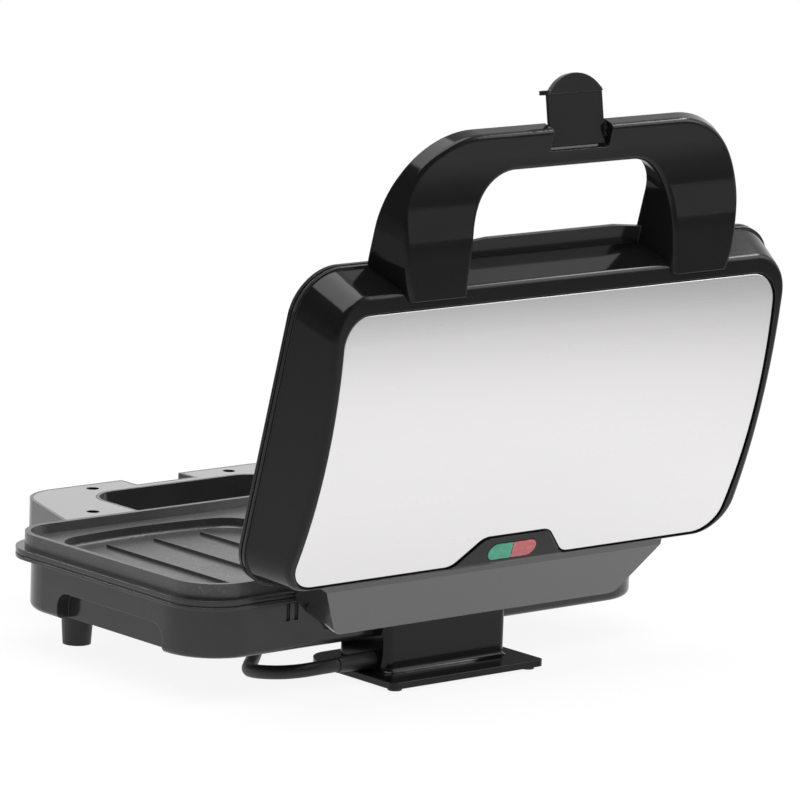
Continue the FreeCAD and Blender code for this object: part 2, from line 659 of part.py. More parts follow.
def heating_element(label, level):
    """A round heater bent into a U, with its ends towards the hinge."""
    owner = body(label)
    path = sketch(owner, "XY_Plane", level)
    half = slab_half - S.element_inset
    front = S.element_front_inset - slab_deep
    rear = slab_deep - S.element_rear_inset
    bend = S.element_bend
    runs = (((-half, rear), (-half, front + bend)), ((bend - half, front), (half - bend, front)),
            ((half, front + bend), (half, rear)))
    turns = (((bend - half, front + bend), 180, 270), ((half - bend, front + bend), 270, 360))
    for start, end in runs:
        path.addGeometry(Part.LineSegment(Vector(start[0].value, start[1].value, 0),
                                          Vector(end[0].value, end[1].value, 0)), False)
    for centre, first, last in turns:
        ring = Part.Circle(Vector(centre[0].value, centre[1].value, 0), Vector(0, 0, 1), bend.value)
        path.addGeometry(Part.ArcOfCircle(ring, math.radians(first), math.radians(last)), False)
    for index, (start, end) in enumerate(runs):
        pin_point(path, index, 1, *start)
        pin_point(path, index, 2, *end)
    for arc, line in ((3, 0), (4, 1)):
        path.addConstraint(Sketcher.Constraint("Tangent", line, 2, arc, 1))
        path.addConstraint(Sketcher.Constraint("Coincident", arc, 2, line + 1, 1))
    profile = sketch(owner, "XZ_Plane", -rear)
    circle(profile, -half, level, S.element_radius)
    doc.recompute()
    pipe = owner.newObject("PartDesign::AdditivePipe", label + "_pipe")
    pipe.Profile = profile
    pipe.Spine = path
    doc.recompute()
    return owner


# Heater, heat shield and electrical pieces under the lower plate.
slab_bottom = BASE_RIM_TOP - S.plate_slab
keep(base_pieces, heating_element("lower_element_form", slab_bottom - S.seat_gap - S.element_radius),
     "lower_heating_element")
shield_half = cover_half - S.shield_inset
shield_deep = cover_deep - S.shield_inset
shield = slab("lower_shield_form", shield_half, -shield_deep, shield_deep, S.shield_corner, ledge_top,
              S.shield_top - ledge_top)
shield_room = sketch(shield, "XY_Plane", ledge_top)
shield_inner = shield_deep - S.shield_thick
rounded_rectangle(shield_room, shield_half - S.shield_thick, -shield_inner, shield_inner,
                  S.shield_corner - S.shield_thick)
pocket(shield, shield_room, S.shield_top - ledge_top - S.shield_thick, True)
keep(base_pieces, shield, "lower_heat_shield")
thermostat = body("thermostat_form")
disc = sketch(thermostat, "XY_Plane", slab_bottom - S.seat_gap - S.thermostat_height)
circle(disc, 0, S.thermostat_y, S.thermostat_radius)
pad(thermostat, disc, S.thermostat_height)
keep(base_pieces, thermostat, "thermostat")
fuse = body("thermal_fuse_form")
fuse_end = sketch(fuse, "YZ_Plane", S.fuse_x)
circle(fuse_end, 0, S.shield_top + S.seat_gap + S.fuse_radius, S.fuse_radius)
pad(fuse, fuse_end, S.fuse_length)
keep(base_pieces, fuse, "thermal_fuse")
terminal = body("terminal_block_form")
terminal_foot = sketch(terminal, "XY_Plane", S.base_bottom + S.cover_thick)
terminal_rear = cover_deep - S.base_ledge_width - S.terminal_gap
terminal_front = terminal_rear - S.terminal_depth
polygon(terminal_foot, ((-S.terminal_width / 2, terminal_front), (S.terminal_width / 2, terminal_front),
                        (S.terminal_width / 2, terminal_rear), (-S.terminal_width / 2, terminal_rear)))
pad(terminal, terminal_foot, S.terminal_height)
keep(base_pieces, terminal, "terminal_block")

# Lower handle: a loop on the front wall with a latch notch, closed on top by a screwed cover.
LOWER_TOP = S.joint_level - S.joint_gap
LEG_REAR = -RIM_DEEP - S.running_gap
LOWER_NOTCH_BACK = LATCH_Y + S.latch_face - S.latch_thick - S.running_gap
# An inset measured across a flared leg, as a share of the inset itself.
FLARE_SLANT_SHARE = 1.05


def lower_loop(label, inset, low, height):
    """The lower handle's loop with its flared legs, drawn in by an inset all round."""
    owner = body(label)
    front = inset - LOWER_FRONT
    rear = S.overrun - RIM_DEEP
    flare = (S.lower_half - S.lower_front_half) / S.lower_reach
    slant = inset * FLARE_SLANT_SHARE
    front_half = S.lower_front_half + flare * inset - slant
    rear_half = S.lower_half + flare * S.overrun - slant
    drawing = sketch(owner, "XY_Plane", low)
    polygon(drawing, ((-rear_half, rear), (-front_half, front), (front_half, front), (rear_half, rear)))
    pad(owner, drawing, height)
    fillet(owner, upright_at((front_half, front)), S.lower_corner - inset)
    opening = sketch(owner, "XY_Plane", low)
    opening_front = -RIM_DEEP - S.lower_open_reach - inset
    rounded_rectangle(opening, S.lower_open_half + inset, opening_front, rear, S.lower_open_corner + inset)
    pocket(owner, opening, height, True)
    notch = sketch(owner, "XY_Plane", low)
    half = S.latch_notch_half + inset
    polygon(notch, ((-half, front - S.overrun), (half, front - S.overrun), (half, inset - LOWER_NOTCH_BACK),
                    (-half, inset - LOWER_NOTCH_BACK)))
    pocket(owner, notch, height, True)
    return owner


def box(label, half, front, rear, low, high):
    """A square prism across X = 0."""
    owner = body(label)
    drawing = sketch(owner, "XY_Plane", low)
    polygon(drawing, ((-half, front), (half, front), (half, rear), (-half, rear)))
    pad(owner, drawing, high - low)
    return owner


lower_form = lower_loop("base_handle_form", size_of(0), S.lower_leg_low, LOWER_TOP - S.lower_leg_low)
underside = sketch(lower_form, "YZ_Plane", S.lower_half + S.overrun)
grip_rear = S.lower_grip_depth - LOWER_FRONT
polygon(underside, ((-LOWER_FRONT - S.overrun, S.lower_leg_low - S.overrun),
                    (-RIM_DEEP, S.lower_leg_low - S.overrun),
                    (-RIM_DEEP, S.lower_leg_low), (grip_rear, S.lower_grip_low),
                    (-LOWER_FRONT - S.overrun, S.lower_grip_low)))
pocket(lower_form, underside, (S.lower_half + S.overrun) * 2)
cover_low = LOWER_TOP - S.handle_cover_thick
cover_inset = S.handle_cover_inset
behind_handle = box("behind_handle", S.rim_width, LEG_REAR, RIM_DEEP, S.base_rim_level, S.plate_top)
cover_room = lower_loop("handle_cover_room", cover_inset - S.seat_gap, cover_low, S.handle_cover_thick)
behind_cover = box("behind_cover", S.rim_width, LEG_REAR - cover_inset, RIM_DEEP, S.base_bottom, S.plate_top)
handle_screws = (mirrored(S.handle_screw_x, -RIM_DEEP - S.handle_screw_reach)
                 + mirrored(S.leg_screw_x, -RIM_DEEP - S.leg_screw_reach))
screw_holes = rods("handle_screw_holes", S.screw_radius + S.screw_fit, handle_screws,
                   LOWER_TOP - S.screw_length,
                   S.screw_length)
screw_wells = rods("handle_screw_wells", S.screw_well_radius, handle_screws, LOWER_TOP - S.screw_well_depth,
                   S.screw_well_depth + S.overrun)
boss_radius = S.screw_well_radius + S.boss_wall
boss_low = LOWER_TOP - S.screw_well_depth - S.boss_floor
bosses = rods("handle_bosses", boss_radius, handle_screws, boss_low, cover_low - boss_low)
boss_rooms = rods("handle_boss_rooms", boss_radius + S.seat_gap, handle_screws, boss_low - S.seat_gap,
                  LOWER_TOP - boss_low)
open_room = cut("handle_cover_pocket", cover_room, [behind_cover])
handle_tools = [base_form, behind_handle, open_room, boss_rooms, screw_holes]
keep(base_pieces, cut("base_handle_solid", lower_form, handle_tools), "base_handle")
cover_ring = lower_loop("handle_cover_ring", cover_inset, cover_low, S.handle_cover_thick)
ring_rear = LEG_REAR - cover_inset - S.seat_gap
behind_ring = box("behind_ring", S.rim_width, ring_rear, RIM_DEEP, S.base_bottom, S.plate_top)
cover_with_bosses = combine("MultiFuse", "handle_cover_with_bosses", [cover_ring, bosses])
keep(base_pieces, cut("base_handle_cover_solid", cover_with_bosses, [behind_ring, screw_holes, screw_wells]),
     "base_handle_cover")
keep(base_pieces, screws("handle_screw", handle_screws, LOWER_TOP - S.screw_well_depth,
                         S.screw_length - S.screw_well_depth, False), "base_handle_screws")

# Rear stand: a broad foot under a neck that the cord is wound on, with four pads.
foot_top = S.pad_height + S.foot_thick
stand = box("rear_stand_form", S.foot_half, FOOT_FRONT, FOOT_REAR, S.pad_height, foot_top)
fillet(stand, upright_at((S.foot_half, FOOT_FRONT)), S.foot_corner)
fillet(stand, upright_at((S.foot_half, FOOT_REAR)), S.foot_rear_corner)
neck = sketch(stand, "XY_Plane", foot_top)
rounded_rectangle(neck, S.neck_half, NECK_FRONT, NECK_REAR, S.neck_round)
pad(stand, neck, S.neck_top - foot_top)


def neck_foot(edge):
    """Picks the outline of the neck where it stands on the foot."""
    area = edge.BoundBox
    half = S.neck_half.value + S.seat_gap.value
    front = NECK_FRONT.value - S.seat_gap.value
    rear = NECK_REAR.value + S.seat_gap.value
    inside = -half < area.XMin and area.XMax < half and front < area.YMin and area.YMax < rear
    return inside and flat_at(foot_top)(edge)


fillet(stand, neck_foot, S.neck_flare)
keep(base_pieces, cut("rear_stand_solid", stand, [base_form]), "rear_stand")
pad_x = S.foot_half - S.pad_inset
pad_places = mirrored(pad_x - S.pad_radius, FOOT_FRONT + S.pad_inset + S.pad_radius)
pad_places += mirrored(pad_x, FOOT_REAR - S.pad_inset)
keep(base_pieces, rods("stand_pad_group", S.pad_radius, pad_places, size_of(0), S.pad_height), "stand_pads")

# Hinge pins, held in the lugs.
pins = []
for name, side in SIDES:
    inner = LUG_INNER - S.running_gap
    outer = KNUCKLE_OUTER
    start = inner if side > 0 else -outer
    shaft = rod("hinge_shaft_" + name, S.pin_radius, (start, HINGE_Y, S.hinge_z), outer - inner)
    head_start = inner - S.pin_head if side > 0 else -inner
    head = rod("hinge_head_" + name, S.pin_head_radius, (head_start, HINGE_Y, S.hinge_z), S.pin_head)
    pins.append(combine("MultiFuse", "hinge_pin_" + name, [shaft, head]))
keep(base_pieces, combine("MultiFuse", "hinge_pin_group", pins), "hinge_pins")

# Lid housing, drawn closed: rim, sloping walls, arched top, rooms for the plate and the heater.
lid_outer = slab("lid_outer", RIM_HALF, -RIM_DEEP, RIM_DEEP, S.rim_corner, S.lid_level, S.lid_rim_height)
wall_low = sketch(lid_outer, "XY_Plane", S.lid_level + S.lid_rim_height)
WALL_HALF = RIM_HALF - S.lid_wall_step
WALL_DEEP = RIM_DEEP - S.lid_wall_step
rounded_rectangle(wall_low, WALL_HALF, -WALL_DEEP, WALL_DEEP, S.rim_corner - S.lid_wall_step)
wall_high = sketch(lid_outer, "XY_Plane", S.lid_top_level)
lid_top_rear = RIM_DEEP - S.lid_top_rear_inset
rounded_rectangle(wall_high, RIM_HALF - S.lid_top_inset, -LID_TOP_FRONT, lid_top_rear, S.lid_top_corner)
loft(lid_outer, wall_low, wall_high)
lid_sharp = combine("MultiCommon", "lid_sharp", [lid_outer, crown("lid_crown", size_of(0))])


def lid_brow(edge):
    """Picks the edges of the arched top."""
    high = edge.BoundBox.ZMin > (S.lid_level + S.lid_rim_height + S.overrun / 2).value
    return high and brow(lid_sharp.Shape, edge)


lid_arched = rounded("lid_arched", lid_sharp, S.lid_edge_round, lid_brow)
closed_gap = S.plate_top + S.upper_plate_gap
mouth = slab("lid_mouth", PLATE_HALF + S.running_gap, -PLATE_DEEP - S.running_gap, PLATE_DEEP + S.running_gap,
             S.plate_corner, S.lid_level - S.overrun, closed_gap - S.lid_level + S.overrun)
UPPER_HALF = WALL_HALF - S.upper_plate_inset
UPPER_DEEP = WALL_DEEP - S.upper_plate_inset
UPPER_CORNER = S.rim_corner - S.upper_plate_inset
plate_room = slab("upper_plate_room", UPPER_HALF + S.cover_gap, -UPPER_DEEP - S.cover_gap,
                  UPPER_DEEP + S.cover_gap,
                  UPPER_CORNER, S.lid_level, S.lid_plate_seat - S.lid_level)
heater_half = UPPER_HALF - S.lid_ledge
heater_deep = UPPER_DEEP - S.lid_ledge
heater_room = slab("heater_room", heater_half, -heater_deep, heater_deep, UPPER_CORNER, S.lid_level,
                   S.lid_ceiling - S.lid_level)


def panel_prism(label, grow):
    """The steel panel's outline with the notch for the lamp window, grown by a gap."""
    rear = RIM_DEEP - S.panel_rear_inset + grow
    owner = slab(label, RIM_HALF - S.panel_inset + grow, S.panel_front_inset - RIM_DEEP - grow, rear,
                 S.panel_corner + grow, S.lid_ceiling, S.lid_top_level - S.lid_ceiling)
    notch = sketch(owner, "XY_Plane", S.lid_ceiling)
    foot = S.tab_foot_half - grow
    top = S.tab_half - grow
    inner = rear - S.tab_depth
    polygon(notch, ((-foot, rear + S.overrun), (-foot, rear), (-top, inner), (top, inner), (foot, rear),
                    (foot, rear + S.overrun)))
    pocket(owner, notch, S.lid_top_level - S.lid_ceiling, True)
    fillet(owner, upright_at((foot, rear), (top, inner)), S.tab_round)
    return owner


panel_floor = S.panel_sink + S.panel_thick
recess = cut("panel_recess", panel_prism("panel_recess_prism", S.panel_gap),
             [crown("recess_crown", panel_floor + S.panel_bed)])
panel_bar = combine("MultiCommon", "panel_bar",
                    [panel_prism("panel_form", size_of(0)), crown("panel_crown", S.panel_sink)])
panel_sheet = cut("panel_sheet", panel_bar, [crown("panel_under_crown", panel_floor)])
panel_solid = rounded("lid_top_panel_solid", panel_sheet, S.panel_edge_round,
                      lambda edge: brow(panel_sheet.Shape, edge))
keep(lid_pieces, panel_solid, "lid_top_panel")


def window(label, grow, low):
    """The round-ended lamp window."""
    deep = S.lens_depth / 2 + grow
    return slab(label, S.lens_half + grow, LENS_Y - deep, LENS_Y + deep, deep * LENS_ROUND_SHARE, low,
                S.lid_top_level - low)


LENS_ROUND_SHARE = 0.95
LENS_Y = RIM_DEEP - S.lens_inset
slot = window("lens_slot", S.lens_gap, S.lens_foot)
for label, side in (("green_lens", 1), ("red_lens", -1)):
    lens = window(label + "_form", size_of(0), S.lens_foot)
    other = sketch(lens, "XY_Plane", S.lens_foot)
    split = S.lens_split / 2 * side
    away = -(S.lens_half + S.overrun) * side
    low, high = LENS_Y - S.lens_depth, LENS_Y + S.lens_depth
    polygon(other, ((split - S.lens_lean, high), (split + S.lens_lean, low), (away, low), (away, high)))
    pocket(lens, other, S.lid_top_level - S.lens_foot, True)
    lens_top = crown(label + "_crown", -S.lens_proud)
    keep(lid_pieces, combine("MultiCommon", label + "_solid", [lens, lens_top]), label)
lid_groove = rim_groove("lid_groove", S.lid_level + S.groove_drop)
lid_tools = [mouth, plate_room, heater_room, recess, slot, lid_groove]
keep(lid_pieces, cut("lid_shell_solid", lid_arched, lid_tools), "lid_shell")

# Rear hinge cover of the lid: a sloping cap with round cheeks and two knuckles, open below for the lugs.
HINGE_COVER_FRONT = RIM_DEEP - S.hinge_cover_inset
hinge_form = body("hinge_cover_form")
plan = sketch(hinge_form, "XY_Plane", S.hinge_z - S.hinge_cover_radius)
cover_rear = HINGE_Y + S.hinge_cover_radius
cover_front = HINGE_COVER_FRONT - S.hinge_cover_lap
polygon(plan, ((-S.hinge_cover_half, cover_front), (S.hinge_cover_half, cover_front),
               (S.hinge_cover_half, HINGE_COVER_FRONT), (S.hinge_cover_rear_half, cover_rear),
               (-S.hinge_cover_rear_half, cover_rear), (-S.hinge_cover_half, HINGE_COVER_FRONT)))
pad(hinge_form, plan, S.hinge_cover_top - S.hinge_z + S.hinge_cover_radius)
fillet(hinge_form, upright_at((S.hinge_cover_rear_half, cover_rear)), S.hinge_cover_round * 2)
side_profile = body("hinge_side_profile")
side_view = sketch(side_profile, "YZ_Plane", -S.hinge_cover_half)
polygon(side_view, ((cover_front, S.lid_plate_seat), (HINGE_Y - S.hinge_cover_radius, S.hinge_z),
                    (cover_rear, S.hinge_z), (cover_rear, S.hinge_cover_rear_top),
                    (HINGE_COVER_FRONT, S.hinge_cover_top), (cover_front, S.hinge_cover_top)))
pad(side_profile, side_view, S.hinge_cover_half * 2)
barrel_view = sketch(side_profile, "YZ_Plane", -S.hinge_cover_half)
circle(barrel_view, HINGE_Y, S.hinge_z, S.hinge_cover_radius)
pad(side_profile, barrel_view, S.hinge_cover_half * 2)
hinge_block = combine("MultiCommon", "hinge_block", [hinge_form, side_profile])
hollow_half = S.hinge_cover_rear_half - S.hinge_cover_cheek
hollow = body("hinge_hollow")
hollow_view = sketch(hollow, "YZ_Plane", -hollow_half)
inner_rear = cover_rear - S.hinge_cover_wall
polygon(hollow_view, ((cover_front - S.overrun, S.hinge_z - S.hinge_cover_radius - S.overrun),
                      (cover_rear + S.overrun, S.hinge_z - S.hinge_cover_radius - S.overrun),
                      (cover_rear + S.overrun, S.hinge_cover_sill), (inner_rear, S.hinge_cover_sill),
                      (inner_rear, S.hinge_cover_rear_top - S.hinge_cover_wall),
                      (HINGE_COVER_FRONT, S.hinge_cover_top - S.hinge_cover_wall),
                      (cover_front - S.overrun, S.hinge_cover_top - S.hinge_cover_wall)))
pad(hollow, hollow_view, hollow_half * 2)
knuckles = []
for name, side in SIDES:
    knuckle = body("knuckle_" + name)
    inner = LUG_INNER + S.lug_width + S.running_gap
    start = inner if side > 0 else -inner - S.knuckle_width
    web = sketch(knuckle, "YZ_Plane", start)
    polygon(web, ((HINGE_Y - S.knuckle_radius, S.hinge_z), (HINGE_Y + S.knuckle_radius, S.hinge_z),
                  (HINGE_Y + S.knuckle_radius, S.hinge_cover_rear_top - S.hinge_cover_wall / 2),
                  (HINGE_Y - S.knuckle_radius, S.hinge_cover_rear_top - S.hinge_cover_wall / 2)))
    pad(knuckle, web, S.knuckle_width)
    eye = sketch(knuckle, "YZ_Plane", start)
    circle(eye, HINGE_Y, S.hinge_z, S.knuckle_radius)
    pad(knuckle, eye, S.knuckle_width)
    knuckles.append(knuckle)
hinge_shell = cut("hinge_shell", hinge_block, [hollow])
hinge_solid = combine("MultiFuse", "hinge_with_knuckles", [hinge_shell] + knuckles)
keep(lid_pieces, cut("hinge_cover_solid", hinge_solid, [lid_outer, pin_hole]), "hinge_cover")

# Upper baking plate, heater, shield and lamp holder inside the lid.
upper = slab("upper_plate_form", UPPER_HALF, -UPPER_DEEP, UPPER_DEEP, UPPER_CORNER, closed_gap,
             S.lid_plate_seat - closed_gap)
back_half = heater_half - S.running_gap
back_deep = heater_deep - S.running_gap
back = sketch(upper, "XY_Plane", S.lid_plate_seat)
rounded_rectangle(back, back_half, -back_deep, back_deep, UPPER_CORNER)
pad(upper, back, S.upper_plate_slab)
pockets(upper, UPPER_HALF, UPPER_DEEP, closed_gap, S.upper_pocket_depth, True, S.upper_rib_height)
keep(lid_pieces, upper, "upper_plate")
upper_back = S.lid_plate_seat + S.upper_plate_slab
upper_element_level = upper_back + S.seat_gap + S.element_radius
keep(lid_pieces, heating_element("upper_element_form", upper_element_level), "upper_heating_element")
upper_shield_low = upper_element_level + S.element_radius + S.upper_shield_gap
holder_rear = heater_deep - S.running_gap
holder_front = holder_rear - S.holder_depth
upper_shield_half = heater_half - S.upper_shield_inset
upper_shield_deep = holder_front - S.upper_shield_clear
upper_shield = slab("upper_shield_form", upper_shield_half, -upper_shield_deep, upper_shield_deep,
                    S.shield_corner,
                    upper_shield_low, S.lid_ceiling - upper_shield_low)
shield_tray = sketch(upper_shield, "XY_Plane", upper_shield_low + S.shield_thick)
shield_inner = upper_shield_deep - S.shield_thick
rounded_rectangle(shield_tray, upper_shield_half - S.shield_thick, -shield_inner, shield_inner,
                  S.shield_corner - S.shield_thick)
pocket(upper_shield, shield_tray, S.lid_ceiling - upper_shield_low - S.shield_thick, True)
keep(lid_pieces, upper_shield, "upper_heat_shield")
holder = box("lamp_holder_form", S.holder_half, holder_front, holder_rear, S.lid_ceiling - S.holder_height,
             S.lid_ceiling)
keep(lid_pieces, holder, "lamp_holder")

# Lid handle: a flared arch, thick at the lid, thin at the grip, bridged along the rim, notched for the latch.
UPPER_LOW = S.joint_level + S.joint_gap
UPPER_TOP_FRONT = RIM_DEEP + S.upper_top_reach
UPPER_OPEN_FRONT = RIM_DEEP + S.upper_open_reach
UPPER_OPEN_TOP_FRONT = RIM_DEEP + S.upper_open_top_reach
GRIP_BACK = RIM_DEEP + S.grip_back_reach
SHOULDER_Y = RIM_DEEP + S.shoulder_reach
arch = body("lid_handle_form")


def arch_outline(owner, level, half, front, corner, rear):
    """One level of the arch or of its opening."""
    drawing = sketch(owner, "XY_Plane", level)
    rounded_rectangle(drawing, half, -front, rear, corner)
    return drawing


arch_rear = S.overrun - RIM_DEEP + S.lid_top_corner
loft(arch, arch_outline(arch, UPPER_LOW, S.upper_half, UPPER_FRONT, S.upper_corner, arch_rear),
     arch_outline(arch, S.leg_top, S.upper_top_half, UPPER_TOP_FRONT, S.upper_corner, arch_rear))
above = sketch(arch, "YZ_Plane", S.upper_half + S.overrun)
roof = S.leg_top + S.overrun
polygon(above, ((-LID_TOP_FRONT, S.leg_top), (-SHOULDER_Y, S.shoulder_top), (-GRIP_BACK, S.grip_top),
                (-UPPER_FRONT - S.overrun, S.grip_top), (-UPPER_FRONT - S.overrun, roof), (-LID_TOP_FRONT,
                                                                                           roof)))
pocket(arch, above, (S.upper_half + S.overrun) * 2)


def crease(edge):
    """Picks the two bends across the arch's upper side."""
    area = edge.BoundBox
    across = same(area.YLength, 0) and same(area.ZLength, 0)
    places = ((-SHOULDER_Y, S.shoulder_top), (-GRIP_BACK, S.grip_top))
    return across and any(same(area.YMin, y.value) and same(area.ZMin, z.value) for y, z in places)


fillet(arch, crease, S.arch_ease)
opening_low = arch_outline(arch, UPPER_LOW, S.upper_open_half, UPPER_OPEN_FRONT, S.upper_open_corner,
                           arch_rear)
opening_high = arch_outline(arch, S.leg_top, S.upper_open_top_half, UPPER_OPEN_TOP_FRONT,
                            S.upper_open_top_corner,
                            arch_rear)
loft(arch, opening_low, opening_high, True)
bridge = sketch(arch, "XY_Plane", UPPER_LOW)
bridge_half = S.upper_open_half + S.overrun / 2
bridge_end = RIM_DEEP + S.bridge_end_reach
bridge_front = RIM_DEEP + S.bridge_reach
bridge_flat = S.upper_open_half - S.bridge_corner
polygon(bridge, ((-bridge_half, -bridge_end), (-bridge_flat, -bridge_front), (bridge_flat, -bridge_front),
                 (bridge_half, -bridge_end), (bridge_half, -LID_TOP_FRONT), (-bridge_half, -LID_TOP_FRONT)))
pad(arch, bridge, S.bridge_thick)


def arch_brow(edge):
    """Picks the edges round the arch's upper side."""
    high = edge.BoundBox.ZMin > (S.grip_top - S.arch_edge_round).value
    return high and edge.BoundBox.YMax < -LID_TOP_FRONT.value and brow(arch.Shape, edge)


arch_round = rounded("lid_handle_arch", arch, S.arch_edge_round, arch_brow)
latch_gap = body("latch_gap")
gap_plan = sketch(latch_gap, "XY_Plane", UPPER_LOW)
gap_front = -UPPER_FRONT - S.overrun
polygon(gap_plan, ((-S.latch_notch_half, gap_front), (S.latch_notch_half, gap_front),
                   (S.latch_notch_half, -LATCH_NOTCH_BACK), (-S.latch_notch_half, -LATCH_NOTCH_BACK)))
pad(latch_gap, gap_plan, S.leg_top - UPPER_LOW)
sill = sketch(latch_gap, "XY_Plane", UPPER_LOW)
polygon(sill, ((-S.latch_notch_half, -LATCH_NOTCH_BACK - S.latch_sill_depth),
               (S.latch_notch_half, -LATCH_NOTCH_BACK - S.latch_sill_depth),
               (S.latch_notch_half, -LATCH_NOTCH_BACK), (-S.latch_notch_half, -LATCH_NOTCH_BACK)))
pocket(latch_gap, sill, S.latch_sill_height, True)
behind_lid = box("behind_lid_front", S.rim_width, -LID_TOP_FRONT, RIM_DEEP, S.lid_level, S.lid_top_level)
latch_pin_half = S.latch_notch_half + S.latch_pin_reach
latch_pin_start = (-latch_pin_half, -LATCH_Y, S.latch_z)
latch_bore = rod("latch_bore", S.latch_pin_radius + S.pin_fit, latch_pin_start, latch_pin_half * 2)
arch_tools = [lid_arched, behind_lid, latch_gap, latch_bore]
keep(lid_pieces, cut("lid_handle_solid", arch_round, arch_tools), "lid_handle")
latch_pin = rod("latch_pin_bar", S.latch_pin_radius, latch_pin_start, latch_pin_half * 2)
latch_pin_solid = doc.addObject("Part::Compound", "latch_pin_solid")
latch_pin_solid.Links = [latch_pin]
doc.recompute()
keep(lid_pieces, latch_pin_solid, "latch_pin")

# Latch, drawn flat about its own pivot: plate, barrel, hook and rounded pull tab.
latch = body("latch_form")
latch_view = sketch(latch, "YZ_Plane", -S.latch_half)
under = S.latch_face - S.latch_thick
crease_y = -S.latch_reach
hook_end = -S.hook_level - S.hook_thick
polygon(latch_view, ((S.latch_root, under), (S.latch_root, S.latch_face), (hook_end, S.latch_face),
                     (hook_end, -S.hook_reach), (-S.hook_level, -S.hook_reach), (-S.hook_level, under)))
pad(latch, latch_view, S.latch_half * 2)
tab_low = S.latch_face - S.latch_thick
tab_plan = sketch(latch, "XY_Plane", tab_low)
tab_radius = (S.latch_half * S.latch_half + S.latch_tab * S.latch_tab) / (S.latch_tab * 2)
tab_left = Vector(-S.latch_half.value, crease_y.value, 0)
tab_right = Vector(S.latch_half.value, crease_y.value, 0)
tab_tip = Vector(0, crease_y.value - S.latch_tab.value, 0)
tab_plan.addGeometry(Part.LineSegment(tab_right, tab_left), False)
tab_plan.addGeometry(Part.Arc(tab_left, tab_tip, tab_right), False)
pin_point(tab_plan, 0, 1, S.latch_half, crease_y)
pin_point(tab_plan, 0, 2, -S.latch_half, crease_y)
tab_plan.addConstraint(Sketcher.Constraint("Coincident", 0, 2, 1, 1))
tab_plan.addConstraint(Sketcher.Constraint("Coincident", 1, 2, 0, 1))
number = tab_plan.addConstraint(Sketcher.Constraint("Radius", 1, tab_radius.value))
tab_plan.setExpression("Constraints[%d]" % number, tab_radius.text)
pad(latch, tab_plan, S.latch_tab_thick)
latch_barrel = sketch(latch, "YZ_Plane", -S.latch_half)
circle(latch_barrel, 0, 0, S.latch_barrel)
pad(latch, latch_barrel, S.latch_half * 2)
latch_eye = sketch(latch, "YZ_Plane", S.latch_half)
circle(latch_eye, 0, 0, S.latch_pin_radius + S.pin_fit)
pocket(latch, latch_eye, S.latch_half * 2)
keep(latch_pieces, latch, "latch")

# Strain relief on the neck's side.
relief = doc.addObject("Part::Cone", "relief_form")
relief.Placement = Placement(Vector(0, 0, 0), Rotation(Vector(0, 1, 0), 90))
bind(relief, "Radius1", S.gland_radius)
bind(relief, "Radius2", S.gland_tip_radius)
bind(relief, "Height", S.gland_length)
for axis, place in zip("xyz", (S.neck_half, GLAND_Y, S.gland_z)):
    bind(relief, "Placement.Base." + axis, place)
doc.recompute()
keep(cord_pieces, cut("strain_relief_solid", relief, [stand]), "strain_relief")

# Cord route: each run's heading in degrees, its length and its fall as shares.
CORD_HEADINGS = (0, -22, -44, -66, -88, -110, -132, -136, -133, -137, -134, -136, -135)
RUN_SHARES = (1, 1, 1, 1, 1, 1, 1, 1.8, 3.4, 6, 7.1, 7.1, 7.1)
FALL_SHARES = (0, 0.2, 0.2, 0.2, 0.2, 0.2, 0, 0, 0, 0, 0, 0, 0)
LIFT_SHARES = (0, 0, 0, 0, 0, 0, 0, 0, 0, 0, 0.5, 0.5, 0)
BEND_SHARE = 0.45
cord_radius = S.cord_radius.value


def towards(degrees, rise=0):
    """A direction from its heading, with a rise for each unit of length along the ground."""
    angle = math.radians(degrees)
    return Vector(math.cos(angle), math.sin(angle), rise)


def sweep(edges):
    """A round tube along a chain of edges."""
    path = Part.Wire(edges)
    start = path.Edges[0]
    first = start.firstVertex().Point
    along = start.tangentAt(start.FirstParameter)
    ring = Part.Wire([Part.Circle(first, along, cord_radius).toShape()])
    return path.makePipeShell([ring], True, False)


def rounded_route(points):
    """Straight runs joined by tangent arcs, and the arcs' radii."""
    edges = []
    radii = []
    here = points[0]
    for before, corner, after in zip(points, points[1:], points[2:]):
        back = (before - corner).normalize()
        ahead = (after - corner).normalize()
        turn = math.pi - back.getAngle(ahead)
        reach = BEND_SHARE * min((corner - before).Length, (after - corner).Length)
        radius = reach / math.tan(turn / 2)
        radii.append(radius)
        start = corner + back * reach
        end = corner + ahead * reach
        middle = corner + (back + ahead).normalize() * (radius / math.cos(turn / 2) - radius)
        edges.append(Part.LineSegment(here, start).toShape())
        edges.append(Part.Arc(start, middle, end).toShape())
        here = end
    edges.append(Part.LineSegment(here, points[-1]).toShape())
    return edges, radii


def feature(label, shape):
    """A finished form that no sketch describes."""
    item = doc.addObject("Part::Feature", label + "_solid")
    item.Shape = shape
    keep(cord_pieces, item, label)
    return item


fall = S.gland_z.value - cord_radius
route = [Vector((S.neck_half + S.gland_length).value, GLAND_Y.value, S.gland_z.value)]
for degrees, run_share, fall_share, lift_share in zip(CORD_HEADINGS, RUN_SHARES, FALL_SHARES, LIFT_SHARES):
    step = towards(degrees) * (S.cord_run.value * run_share)
    step.z = S.coil_lift.value * lift_share - fall * fall_share
    route.append(route[-1] + step)
route_edges, route_radii = rounded_route(route)
cord = feature("power_cord", sweep(route_edges))

